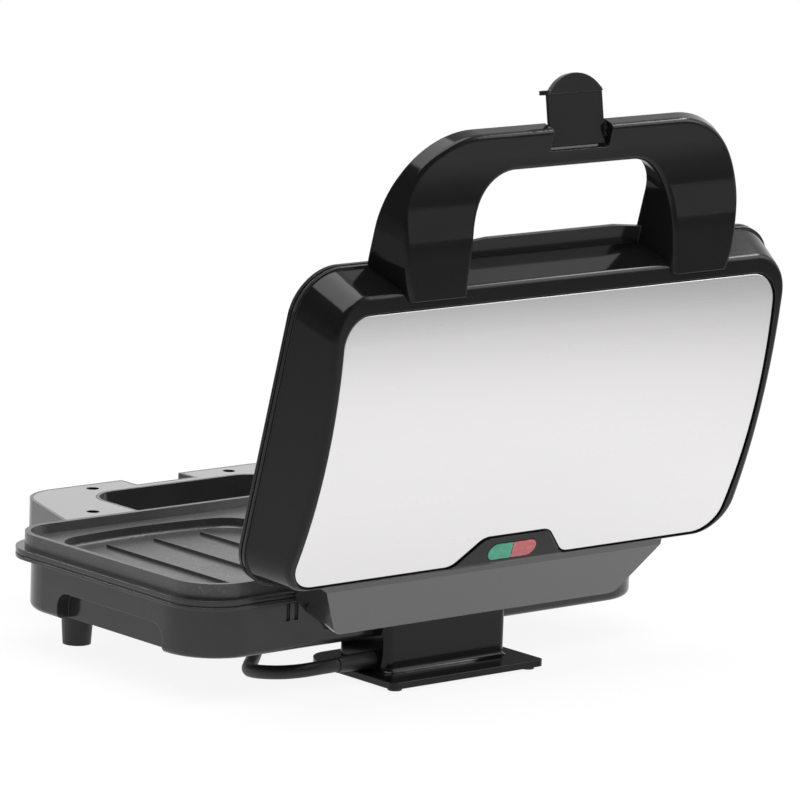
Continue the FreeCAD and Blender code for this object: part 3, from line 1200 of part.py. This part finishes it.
# Coil: the first layer winds inwards, the cord climbs in half a turn, the second layer winds outwards.
TIE_TURN_SHARE = 0.1
TURN_IN_SHARE = 0.125
last_heading = CORD_HEADINGS[-1]
lead = towards(last_heading) * (cord_radius * 2)
coil_start = route[-1] + lead
coil_outer = (S.coil_radius + S.coil_pitch / 2).value
coil_middle = coil_start + towards(last_heading - 90) * coil_outer
pitch = S.coil_pitch.value
layer = S.coil_layer.value


def coil_place(turns):
    """A point of the coil's centre line, counted in turns, with its direction."""
    half = 0.5
    climb = min(max((turns - 1) / half, 0), 1)
    height = layer * climb * climb * (3 - 2 * climb)
    rise = layer * 6 * climb * (1 - climb) / half
    if turns <= 1:
        radius, growth = coil_outer - pitch * turns, -pitch
    elif turns < 1 + half:
        wave = math.sin(math.pi * climb)
        radius, growth = coil_outer - pitch - pitch * TURN_IN_SHARE * wave, 0
    else:
        radius, growth = coil_outer - pitch + pitch * (turns - 1 - half), pitch
    if turns in (0, 1, 1 + half):
        growth = 0
    angle = last_heading + 90 - 360 * turns
    out = towards(angle)
    point = coil_middle + out * radius + Vector(0, 0, height)
    direction = towards(angle - 90) * (2 * math.pi * radius) + out * growth + Vector(0, 0, rise)
    return point, direction.normalize()


def biarc(start, leave, end, arrive):
    """Two arcs that lead from one point and direction into another."""
    gap = end - start
    share = 2 * (1 - leave.dot(arrive))
    reach = gap.dot(leave + arrive)
    arm = (math.sqrt(reach * reach + share * gap.dot(gap)) - reach) / share
    joint = (start + leave * arm + end - arrive * arm) * 0.5
    edges = []
    for first, direction, last in ((start, leave, joint), (joint, None, end)):
        if direction is None:
            direction = ((end - arrive * arm) - (start + leave * arm)).normalize()
        edges.append(tangent_arc(first, direction, last))
    return edges


def tangent_arc(first, direction, last):
    """The arc that leaves a point in a direction and ends at another point."""
    chord = last - first
    side = chord - direction * chord.dot(direction)
    inward = side.normalize()
    radius = chord.dot(chord) / (2 * chord.dot(inward))
    centre = first + inward * radius
    middle = centre + ((first + last) * 0.5 - centre).normalize() * radius
    return Part.Arc(first, middle, last).toShape()


coil_edges = [Part.LineSegment(route[-1], coil_start).toShape()]
coil_turns = [step / 4 for step in range(10)]
for here, following in zip(coil_turns, coil_turns[1:]):
    coil_edges += biarc(*coil_place(here), *coil_place(following))
coil_end, tail_way = coil_place(coil_turns[-1])
tail_heading = math.degrees(math.atan2(tail_way.y, tail_way.x))
tail_run = S.tail_run.value
flange_reach = (S.tail_run + S.plug_neck + S.plug_grip).value
plug_radius = S.plug_radius.value
arm = math.hypot(plug_radius, flange_reach)
tilt = math.acos((coil_end.z - S.seat_gap.value) / arm) - math.atan2(flange_reach, plug_radius)
plug_way = (towards(tail_heading) * math.cos(tilt) + Vector(0, 0, math.sin(tilt))).normalize()
tail_corner = coil_end + tail_way * tail_run
tail = [coil_end, tail_corner, tail_corner + plug_way * tail_run]
tail_edges, tail_radii = rounded_route(tail)
coil = feature("power_cord_coil", sweep(coil_edges + tail_edges))


def block(label, start, size):
    """A square block from its lowest corner."""
    item = doc.addObject("Part::Box", label)
    for name, length in zip(("Length", "Width", "Height"), size):
        bind(item, name, length)
    for axis, place in zip("xyz", start):
        bind(item, "Placement.Base." + axis, place)
    doc.recompute()
    return item


# Tie round the coil's loops.
loops_inner = S.coil_radius - S.coil_pitch / 2 - S.coil_pitch * TURN_IN_SHARE - S.cord_radius - S.tie_slack
loops_outer = S.coil_radius + S.coil_pitch / 2 + S.cord_radius + S.tie_slack
loops_low = S.coil_lift - S.tie_gap
loops_high = S.coil_lift + S.coil_layer + S.cord_radius * 2 + S.tie_gap
band = block("tie_band", (loops_inner - S.tie_thick, -S.tie_width / 2, loops_low - S.tie_thick),
             (loops_outer - loops_inner + S.tie_thick * 2, S.tie_width,
              loops_high - loops_low + S.tie_thick * 2))
band_room = block("tie_room", (loops_inner, -S.tie_width, loops_low),
                  (loops_outer - loops_inner, S.tie_width * 2, loops_high - loops_low))
tie = keep(cord_pieces, cut("cord_tie_solid", band, [band_room]), "cord_tie")
tie_angle = last_heading + 90 - 360 * TIE_TURN_SHARE
tie.Placement = Placement(Vector(coil_middle.x, coil_middle.y, 0), Rotation(Vector(0, 0, 1), tie_angle))


def cone(label, start, low, high, length):
    """A round taper along X."""
    item = doc.addObject("Part::Cone", label)
    item.Placement = Placement(Vector(0, 0, 0), Rotation(Vector(0, 1, 0), 90))
    bind(item, "Radius1", low)
    bind(item, "Radius2", high)
    bind(item, "Height", length)
    bind(item, "Placement.Base.x", start)
    doc.recompute()
    return item


# Plug: neck, grip and flange on one axis, with two round pins.
plug_face = S.plug_neck + S.plug_grip + S.plug_flange
plug_neck = cone("plug_neck", size_of(0), S.plug_neck_tip, S.plug_neck_radius, S.plug_neck)
plug_grip = cone("plug_grip", S.plug_neck, S.plug_grip_tip, S.plug_grip_radius, S.plug_grip)
plug_flange = rod("plug_flange", S.plug_radius, (S.plug_neck + S.plug_grip, size_of(0), size_of(0)),
                  S.plug_flange)
plug = keep(cord_pieces, combine("MultiFuse", "plug_group", [plug_neck, plug_grip, plug_flange]), "plug_body")
pin_bars = [rod("plug_pin_%d" % number, S.plug_pin_radius, (plug_face, S.plug_pin_spacing / 2 * side,
                                                            size_of(0)),
                S.plug_pin_length) for number, side in enumerate((1, -1))]
plug_pins = keep(cord_pieces, combine("MultiFuse", "plug_pin_group", pin_bars), "plug_pins")
lie = Rotation(Vector(0, 0, 1), tail_heading).multiply(Rotation(Vector(0, 1, 0), -math.degrees(tilt)))
for item in (plug, plug_pins):
    item.Placement = Placement(tail[-1], lie)

# Check the model before the pieces are put in place.
doc.recompute()
for item in doc.Objects:
    if "Invalid" in item.State or "Error" in item.State:
        raise RuntimeError("%s has failed: %s" % (item.Label, item.State))

# Open the lid about the hinge, set the latch on its pin, and centre the appliance on the origin.
opened = Placement(Vector(0, 0, 0), Rotation(Vector(1, 0, 0), -S.open_angle.value),
                   Vector(0, HINGE_Y.value, S.hinge_z.value))
latch_seat = Placement(Vector(0, -LATCH_Y.value, S.latch_z.value), Rotation(Vector(1, 0, 0),
                                                                            S.latch_lean.value))
for item in latch_pieces:
    item.Placement = opened.multiply(latch_seat)
for item in lid_pieces:
    item.Placement = opened.multiply(item.Placement)
extent = FreeCAD.BoundBox()
for item in base_pieces + lid_pieces + latch_pieces:
    extent.add(item.Shape.optimalBoundingBox(False, False))
centred = Placement(Vector(0, -extent.Center.y, 0), Rotation())
pieces = base_pieces + lid_pieces + latch_pieces + cord_pieces
for item in pieces:
    item.Placement = centred.multiply(item.Placement)

os.makedirs("parts", exist_ok=True)
for item in pieces:
    shape = item.Shape
    if shape.isNull() or not shape.isValid() or shape.Volume <= 0:
        raise RuntimeError("%s has no sound shape" % item.Label)
    shape.exportStep("parts/%s.step" % item.Label)

# The placed axes, the extent and the cord's own figures.
pivot = centred.multVec(opened.multVec(Vector(0, -LATCH_Y.value, S.latch_z.value)))
axis = centred.multVec(Vector(0, HINGE_Y.value, S.hinge_z.value))
length = sum(edge.Length for edge in route_edges + coil_edges + tail_edges)
section = math.pi * cord_radius * cord_radius
line = [point for edge in coil_edges for point in edge.discretize(24)[:-1]]
spans = [(one - other).Length for number, one in enumerate(line) for other in line[number + 60:]]
print("hinge axis y %.3f z %.3f, latch pivot y %.3f z %.3f" % (axis.y, axis.z, pivot.y, pivot.z))
print("extent", extent, "shift", -extent.Center.y)
print("cord radii", [round(radius, 1) for radius in route_radii + tail_radii])
volume = cord.Shape.Volume + coil.Shape.Volume
print("cord length %.1f, volume %.0f against %.0f" % (length, volume, section * length))
print("least gap between the coil's turns %.2f" % (min(spans) - 2 * cord_radius))
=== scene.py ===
"""Sandwich maker standing open on a pale floor: finishes, cord, camera and light, in metres."""
import json
import math

import bmesh
import bpy
from mathutils import Matrix, Vector


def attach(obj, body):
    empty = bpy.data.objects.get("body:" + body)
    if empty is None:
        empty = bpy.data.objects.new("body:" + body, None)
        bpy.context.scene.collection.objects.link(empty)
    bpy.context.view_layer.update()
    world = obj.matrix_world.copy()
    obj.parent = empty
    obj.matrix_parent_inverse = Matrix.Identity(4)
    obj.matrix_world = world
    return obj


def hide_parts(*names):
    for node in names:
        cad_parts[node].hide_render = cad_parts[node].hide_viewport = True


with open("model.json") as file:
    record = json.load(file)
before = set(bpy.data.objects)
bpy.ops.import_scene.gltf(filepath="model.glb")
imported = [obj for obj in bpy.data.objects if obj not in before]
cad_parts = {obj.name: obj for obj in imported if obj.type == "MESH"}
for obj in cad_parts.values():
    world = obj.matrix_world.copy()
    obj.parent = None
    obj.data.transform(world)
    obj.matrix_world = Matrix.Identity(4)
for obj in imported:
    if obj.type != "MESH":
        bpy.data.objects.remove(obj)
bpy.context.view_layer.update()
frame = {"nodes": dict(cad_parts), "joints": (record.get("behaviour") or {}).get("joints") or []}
NODES = frame["nodes"]
SCENE = bpy.context.scene
HINGE = Vector(next(joint for joint in frame["joints"] if joint["name"] == "lid_hinge")["pos_m"])
# The hinge lies this far behind the middle of the rim.
HINGE_BEHIND = 0.0878
RIM_MIDDLE = HINGE.y - HINGE_BEHIND


def add(name, data):
    """An object with its data, linked into the scene."""
    item = bpy.data.objects.new(name, data)
    SCENE.collection.objects.link(item)
    return item


# Radius of the softened edges of moulded pieces.
EDGE_ROUND = 0.0005
# Moulded edges are mixed with a pale colour by this share: a painted highlight along them.
EDGE_HIGHLIGHT_SHARE = 0.5
# The pale colour of the painted edge highlight.
EDGE_HIGHLIGHT_COLOR = (0.12, 0.12, 0.125)
# How well the softened normal matches the face's own, at a sharp edge and on a flat face.
EDGE_SHARP, EDGE_FLAT = 0.75, 0.98
BEVEL_SAMPLES = 6


class Shade:
    """A shader value that takes part in Python expressions."""

    def __init__(self, finish, socket):
        self.finish = finish
        self.socket = socket

    def _math(self, operation, first, second):
        return self.finish.get("ShaderNodeMath", 0, {"operation": operation}, {0: first, 1: second})

    def __add__(self, other):
        return self._math("ADD", self, other)

    def __sub__(self, other):
        return self._math("SUBTRACT", self, other)

    def __rsub__(self, other):
        return self._math("SUBTRACT", other, self)

    def __mul__(self, other):
        return self._math("MULTIPLY", self, other)

    __radd__ = __add__
    __rmul__ = __mul__

    def smooth(self, low, high, start=0.0, end=1.0):
        """A soft step from one value to another."""
        inputs = {0: self, 1: low, 2: high, 3: start, 4: end}
        return self.finish.get("ShaderNodeMapRange", 0, {"interpolation_type": "SMOOTHSTEP"}, inputs)


class Finish:
    """A node material, or the world, written as expressions."""

    def __init__(self, name, tree=None, **constants):
        self.material = None
        if tree is None:
            self.material = bpy.data.materials.new(name)
            self.material.use_nodes = True
            tree = self.material.node_tree
            self.shader = tree.nodes["Principled BSDF"]
            for socket, value in constants.items():
                self.shader.inputs[socket.replace("_", " ")].default_value = value
        self.tree = tree

    def node(self, kind, settings=None, inputs=None):
        """A node with its settings, then the values or links of its sockets."""
        made = self.tree.nodes.new(kind)
        for name, value in (settings or {}).items():
            setattr(made, name, value)
        for name, value in (inputs or {}).items():
            if isinstance(value, Shade):
                self.tree.links.new(value.socket, made.inputs[name])
            else:
                made.inputs[name].default_value = value
        return made

    def get(self, kind, output=0, settings=None, inputs=None):
        """One output of a new node, as a value for expressions."""
        return Shade(self, self.node(kind, settings, inputs).outputs[output])

    def place(self, stretch=(1, 1, 1)):
        """Object coordinates, stretched."""
        here = self.get("ShaderNodeTexCoord", "Object")
        return self.get("ShaderNodeMapping", 0, {}, {"Vector": here, "Scale": stretch})

    def noise(self, scale, detail, stretch=(1, 1, 1)):
        """Cloudy noise from 0 to 1."""
        inputs = {"Vector": self.place(stretch), "Scale": scale, "Detail": detail}
        return self.get("ShaderNodeTexNoise", 0, {}, inputs)

    def mix(self, share, first, second):
        """A colour between two colours."""
        inputs = {0: share, 6: first, 7: second}
        for index in (6, 7):
            if not isinstance(inputs[index], Shade):
                inputs[index] = (*inputs[index], 1.0)
        return self.get("ShaderNodeMix", 2, {"data_type": "RGBA"}, inputs)

    def feed(self, socket, value):
        self.tree.links.new(value.socket, self.shader.inputs[socket])

    def softened(self, radius):
        """The normal with sharp edges rounded."""
        return self.get("ShaderNodeBevel", 0, {"samples": BEVEL_SAMPLES}, {"Radius": radius})

    def edges(self, radius):
        """One along sharp edges, nothing on flat faces: the mask of the painted edge highlight."""
        inputs = {0: self.get("ShaderNodeNewGeometry", "Normal"), 1: self.softened(radius)}
        match = self.get("ShaderNodeVectorMath", "Value", {"operation": "DOT_PRODUCT"}, inputs)
        return match.smooth(EDGE_SHARP, EDGE_FLAT, 1.0, 0.0)

    def bump(self, height, strength, distance, edge=0.0):
        """Raises the surface by a height, and rounds sharp edges where a radius is given."""
        inputs = {"Height": height, "Strength": strength, "Distance": distance}
        if edge:
            inputs["Normal"] = self.softened(edge)
        self.feed("Normal", self.get("ShaderNodeBump", 0, {}, inputs))


# Noise scales per metre, each with its detail.
FLOW_MARKS, SKIN_GRAIN = (38, 4), (2600, 2)
STAINS = (160, 4)
SPECKS, CLOUDS, PEEL = (900, 2), (60, 3), (700, 3)
# Brush marks: scale, detail, and the stretch along and across the brushing.
FINE_LINES, BROAD_LINES = (1.0, 3, (14, 2600, 2600)), (1.0, 2, (5, 420, 420))
FINE_SHARE, BROAD_SHARE = 0.7, 0.3
# Depths of the bumps.
SKIN_DEPTH, BRUSH_DEPTH, PEEL_DEPTH = 0.0001, 0.00004, 0.0002
SPECK_COLOR = (0.2, 0.2, 0.21)
SPECK_SHARE = 0.35
NONSTICK_ROUGH = 0.33
# Scale of the cells of painted glints in the lamp lenses.
LAMP_CELLS = 420.0


def scaled(color, share):
    """A colour made darker or lighter."""
    return tuple(min(1, channel * share) for channel in color)


def moulded(name, color, rough, grain=0.05, coat=0.0, gleam=0.5):
    """Moulded plastic or ceramic: an even colour with faint flow marks, a fine skin, softened edges and a
    painted highlight along them.
    """
    finish = Finish(name, Roughness=rough, Coat_Weight=coat, Coat_Roughness=0.08,
                    Specular_IOR_Level=gleam)
    cloud = finish.noise(*FLOW_MARKS)
    skin = finish.noise(*SKIN_GRAIN)
    flow = finish.mix(cloud, scaled(color, 0.8), scaled(color, 1.25))
    # Painted highlight: sharp edges are mixed with the pale edge colour.
    finish.feed("Base Color", finish.mix(finish.edges(EDGE_ROUND) * EDGE_HIGHLIGHT_SHARE, flow, EDGE_HIGHLIGHT_COLOR))
    finish.feed("Roughness", rough + (cloud - 0.5) * 0.08 + (skin - 0.5) * 0.05)
    finish.bump(skin, grain, SKIN_DEPTH, EDGE_ROUND)
    return finish.material


def brushed(name, color, rough, streak):
    """Metal brushed along X."""
    finish = Finish(name, Metallic=1.0, Roughness=rough, Anisotropic=0.4)
    lines = finish.noise(*FINE_LINES) * FINE_SHARE + finish.noise(*BROAD_LINES) * BROAD_SHARE
    finish.feed("Base Color", finish.mix(lines, scaled(color, 0.95), color))
    finish.feed("Roughness", rough + (lines - 0.5) * 0.16)
    finish.bump(lines, streak, BRUSH_DEPTH)
    return finish.material


def metal(name, color, rough):
    """Plain plated or drawn metal with small stains."""
    finish = Finish(name, Metallic=1.0, Roughness=rough)
    stain = finish.noise(*STAINS)
    finish.feed("Base Color", finish.mix(stain, scaled(color, 0.82), color))
    finish.feed("Roughness", rough + (stain - 0.5) * 0.2)
    return finish.material


def nonstick(name, color):
    """Dark nonstick coating with pale specks."""
    finish = Finish(name, Roughness=NONSTICK_ROUGH, Specular_IOR_Level=0.7)
    specks = finish.noise(*SPECKS).smooth(0.6, 0.72)
    cloud = finish.noise(*CLOUDS)
    base = finish.mix(cloud, scaled(color, 0.8), scaled(color, 1.2))
    finish.feed("Base Color", finish.mix(specks * SPECK_SHARE, base, SPECK_COLOR))
    finish.feed("Roughness", NONSTICK_ROUGH + (cloud - 0.5) * 0.14 - specks * 0.1)
    finish.bump(finish.noise(*PEEL), 0.18, PEEL_DEPTH)
    return finish.material


def lamp_glass(name, color):
    """Tinted clear plastic over an unlit lamp, with a cellular pattern inside whose paler cells are
    painted glints.
    """
    finish = Finish(name, Roughness=0.12, Coat_Weight=0.2, Coat_Roughness=0.03)
    inputs = {"Vector": finish.place(), "Scale": LAMP_CELLS}
    cells = finish.get("ShaderNodeTexVoronoi", 0, {}, inputs)
    # Painted glints: the paler cells lighten the lens colour.
    finish.feed("Base Color", finish.mix(cells.smooth(0.1, 0.6), scaled(color, 1.3), color))
    return finish.material


BLACK = (0.0055, 0.0055, 0.006)
SOFT_BLACK = (0.012, 0.012, 0.012)
FINISHES = {
    "gloss": moulded("gloss_black_plastic", BLACK, 0.1, 0.02, 0.0, 0.24),
    "base": moulded("polished_base_plastic", (0.022, 0.022, 0.023), 0.14, 0.02, 0.0, 0.4),
    "hinge": moulded("polished_hinge_plastic", (0.014, 0.014, 0.015), 0.2, 0.03, 1.0, 0.5),
    "cover": moulded("polished_cover_plastic", BLACK, 0.2, 0.03, 1.0, 0.6),
    "matte": moulded("matte_black_plastic", SOFT_BLACK, 0.5, 0.2),
    "rubber": moulded("soft_rubber", SOFT_BLACK, 0.5, 0.25),
    "nonstick": nonstick("speckled_nonstick", (0.03, 0.03, 0.032)),
    "steel": brushed("brushed_steel", (0.84, 0.828, 0.828), 0.25, 0.1),
    "plated": metal("plated_steel", (0.6, 0.6, 0.6), 0.3),
    "tin": metal("pressed_tin", (0.62, 0.62, 0.62), 0.4),
    "heater": metal("heater_tube", (0.32, 0.3, 0.28), 0.45),
    "pins": metal("nickel_pins", (0.72, 0.7, 0.66), 0.25),
    "ceramic": moulded("pale_ceramic", (0.72, 0.7, 0.64), 0.45),
    "green": lamp_glass("green_lamp", (0.02, 0.27, 0.155)),
    "red": lamp_glass("red_lamp", (0.43, 0.08, 0.085)),
}
PAINT = {
    "gloss": "lid_shell lid_handle latch rear_stand",
    "base": "base_shell base_handle",
    "hinge": "hinge_cover",
    "cover": "base_handle_cover",
    "matte": "bottom_cover front_feet cord_tie",
    "rubber": "stand_pads strain_relief plug_body power_cord power_cord_coil",
    "nonstick": "lower_plate upper_plate",
    "steel": "lid_top_panel",
    "plated": "bottom_cover_screws base_handle_screws hinge_pins latch_pin",
    "tin": "lower_heat_shield upper_heat_shield",
    "heater": "lower_heating_element upper_heating_element thermal_fuse",
    "pins": "plug_pins",
    "ceramic": "thermostat terminal_block lamp_holder",
    "green": "green_lens",
    "red": "red_lens",
}
for finish, names in PAINT.items():
    for name in names.split():
        NODES[name].data.materials.clear()
        NODES[name].data.materials.append(FINISHES[finish])

# Cord: the route's corners, then the coil's turns, then the tail into the plug.
CORD_RADIUS = 0.0031
ROUTE = (
    (0.0550, 0.0700, 0.0090), (0.0634, 0.0700, 0.0090), (0.0712, 0.0668, 0.0078),
    (0.0772, 0.0610, 0.0066), (0.0806, 0.0533, 0.0055), (0.0809, 0.0449, 0.0043),
    (0.0781, 0.0370, 0.0031), (0.0724, 0.0308, 0.0031), (0.0616, 0.0203, 0.0031),
    (0.0421, -0.0006, 0.0031), (0.0052, -0.0350, 0.0031), (-0.0362, -0.0779, 0.0038),
    (-0.0791, -0.1193, 0.0044), (-0.1213, -0.1615, 0.0044),
)
COIL_OUTER = 0.03645
COIL_PITCH = 0.0069
COIL_LAYER = 0.007
# The coil winds inwards up to the climb, climbs, and winds outwards after it, counted in turns.
CLIMB_START = 1.0
CLIMB_TURNS = 0.5
# How far the cord turns in while it climbs, as a share of the pitch.
TURN_IN_SHARE = 0.125
LAST_HEADING = math.radians(-135)
POINTS_PER_TURN = 16
COIL_TURNS = 2.25
TAIL_RUN = 0.015
PLUG_RISE = 0.137


def towards(angle, rise=0.0):
    return Vector((math.cos(angle), math.sin(angle), rise))


def coil_point(turns):
    """A point of the coil, from its middle."""
    climb = min(max((turns - CLIMB_START) / CLIMB_TURNS, 0), 1)
    if turns <= CLIMB_START:
        inwards = turns
    elif turns < CLIMB_START + CLIMB_TURNS:
        inwards = CLIMB_START + TURN_IN_SHARE * math.sin(math.pi * climb)
    else:
        inwards = 2 * CLIMB_START + CLIMB_TURNS - turns
    out = towards(LAST_HEADING + math.pi / 2 - 2 * math.pi * turns)
    lift = COIL_LAYER * climb * climb * (3 - 2 * climb)
    return out * (COIL_OUTER - COIL_PITCH * inwards) + Vector((0, 0, lift))


def cord_points():
    """The whole cord's control points."""
    points = [Vector(point) + Vector((0, RIM_MIDDLE, 0)) for point in ROUTE]
    start = points[-1] + towards(LAST_HEADING) * (CORD_RADIUS * 2)
    middle = start - coil_point(0)
    count = round(COIL_TURNS * POINTS_PER_TURN)
    points += [middle + coil_point(step * COIL_TURNS / count) for step in range(count + 1)]
    away = LAST_HEADING - 2 * math.pi * COIL_TURNS
    points.append(points[-1] + towards(away) * TAIL_RUN)
    points.append(points[-1] + towards(away, PLUG_RISE) * TAIL_RUN)
    return points


curve = bpy.data.curves.new("mains_cord", "CURVE")
curve.dimensions = "3D"
curve.bevel_depth = CORD_RADIUS
curve.bevel_resolution = 6
curve.resolution_u = 8
curve.use_fill_caps = True
spline = curve.splines.new("NURBS")
line = cord_points()
spline.points.add(len(line) - 1)
for point, place in zip(spline.points, line):
    point.co = (*place, 1.0)
spline.order_u = 3
spline.use_endpoint_u = True
mains_cord = add("mains_cord", curve)
mains_cord.data.materials.append(FINISHES["rubber"])
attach(mains_cord, "base")
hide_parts("power_cord", "power_cord_coil")

# Camera: heading, tilt and roll, its place along its own axes, and its focal length in picture widths.
ALPHA, PHI, ROLL = math.radians(40.338), math.radians(10.732), math.radians(2.028)
CAMERA_PLACE = Vector((0.029489, 0.067553, 2.611191))
CAMERA_ORIGIN = Vector((0, RIM_MIDDLE, 0.0415))
FOCAL_SHARE = 5771.85 / 800
SENSOR_WIDTH = 36
VIEW_DEPTH = 50
back = Vector((math.sin(ALPHA) * math.cos(PHI), math.cos(ALPHA) * math.cos(PHI), math.sin(PHI)))
side = Vector((-math.cos(ALPHA), math.sin(ALPHA), 0))
up = back.cross(side)
right = side * math.cos(ROLL) + up * math.sin(ROLL)
over = up * math.cos(ROLL) - side * math.sin(ROLL)
turn = Matrix((right, over, back)).transposed()
lens = bpy.data.cameras.new("camera")
lens.sensor_width = SENSOR_WIDTH
lens.lens = SENSOR_WIDTH * FOCAL_SHARE
lens.clip_end = VIEW_DEPTH
camera = add("camera", lens)
camera.matrix_world = Matrix.Translation(turn @ CAMERA_PLACE + CAMERA_ORIGIN) @ turn.to_4x4()
SCENE.camera = camera

# Floor: mirrored, it glows near the part and fades with distance. The camera sees it almost white.
FLOOR_HALF = 6.0
GLOW_NEAR, GLOW_FAR, GLOW_LEFT = 0.26, 1.1, 0.25
GLOW_SHARE = 0.85
WHITE_NEAR, WHITE_FAR, WHITE_SHARE = 0.22, 0.55, 0.9
floor_mesh = bpy.data.meshes.new("floor")
sheet = bmesh.new()
bmesh.ops.create_grid(sheet, x_segments=1, y_segments=1, size=FLOOR_HALF)
sheet.to_mesh(floor_mesh)
sheet.free()
floor = add("floor", floor_mesh)
pale = Finish("pale_floor", Base_Color=(0.88, 0.88, 0.88, 1), Roughness=0.9)
rays = pale.node("ShaderNodeLightPath").outputs
seen = Shade(pale, rays["Is Camera Ray"])
mirrored = Shade(pale, rays["Is Glossy Ray"])
spot = pale.get("ShaderNodeTexCoord", "Object")
distance = pale.get("ShaderNodeVectorMath", "Value", {"operation": "LENGTH"}, {0: spot})
level = distance.smooth(GLOW_NEAR, GLOW_FAR, 1.0, GLOW_LEFT)
glow_color = pale.mix(level, (0, 0, 0), (1, 1, 1))
glow = pale.get("ShaderNodeEmission", 0, {}, {"Color": glow_color, "Strength": 1.0})
white = pale.get("ShaderNodeEmission", 0, {}, {"Color": (1, 1, 1, 1), "Strength": 1.0})
plain = Shade(pale, pale.shader.outputs[0])
lit = pale.get("ShaderNodeMixShader", 0, {}, {0: mirrored * GLOW_SHARE, 1: plain, 2: glow})
shown = seen * distance.smooth(WHITE_NEAR, WHITE_FAR, WHITE_SHARE, 1.0)
blend = pale.node("ShaderNodeMixShader", {}, {0: shown, 1: lit, 2: white})
pale.tree.links.new(blend.outputs[0], pale.tree.nodes["Material Output"].inputs["Surface"])
floor_mesh.materials.append(pale.material)

# World: white to the camera, an even fill for diffuse light, and mirrored a room that darkens
# towards the camera's side.
ROOM_REAR, ROOM_FRONT, ROOM_DARK = -0.1, 0.7, 0.14
ROOM_FILL = 0.45
world = bpy.data.worlds.new("studio")
SCENE.world = world
world.use_nodes = True
studio = Finish("studio", world.node_tree)
way = studio.get("ShaderNodeTexCoord", "Generated")
front = studio.get("ShaderNodeVectorMath", "Value", {"operation": "DOT_PRODUCT"},
                   {0: way, 1: tuple(back)})
room = front.smooth(ROOM_REAR, ROOM_FRONT, 1.0, ROOM_DARK)
paths = studio.node("ShaderNodeLightPath").outputs
camera_ray = Shade(studio, paths["Is Camera Ray"])
glossy_ray = Shade(studio, paths["Is Glossy Ray"]) + Shade(studio, paths["Is Transmission Ray"])
around = glossy_ray * room + (1 - glossy_ray) * ROOM_FILL
strength = camera_ray + (1 - camera_ray) * around
background = world.node_tree.nodes["Background"]
background.inputs["Color"].default_value = (1, 1, 1, 1)
world.node_tree.links.new(strength.socket, background.inputs["Strength"])

# Lamps: name, place, aim, width, height and watts.
LAMPS = (
    ("overhead_box", (0.2, 0.3, 1.6), (0, 0, 0), 1.4, 1.4, 26),
    ("rear_box", (-1.2, 1.0, 0.9), (0, 0, 0.15), 0.9, 0.9, 6),
    ("far_strip", (0.25, -1.3, 1.05), (0, 0, 0.15), 0.9, 0.16, 5),
    ("side_strip", (-1.1, 0.3, 1.25), (0, 0, 0.15), 0.9, 0.16, 5),
)


def softbox(name, place, aim, width, height, watts):
    """A flat lamp that the camera doesn't see."""
    lamp = bpy.data.lights.new(name, "AREA")
    lamp.energy = watts
    lamp.shape = "RECTANGLE"
    lamp.size = width
    lamp.size_y = height
    item = add(name, lamp)
    item.visible_camera = False
    item.location = place
    item.rotation_mode = "QUATERNION"
    item.rotation_quaternion = (Vector(aim) - Vector(place)).to_track_quat("-Z", "Y")


for lamp_row in LAMPS:
    softbox(*lamp_row)

view = SCENE.view_settings
view.view_transform = "Standard"
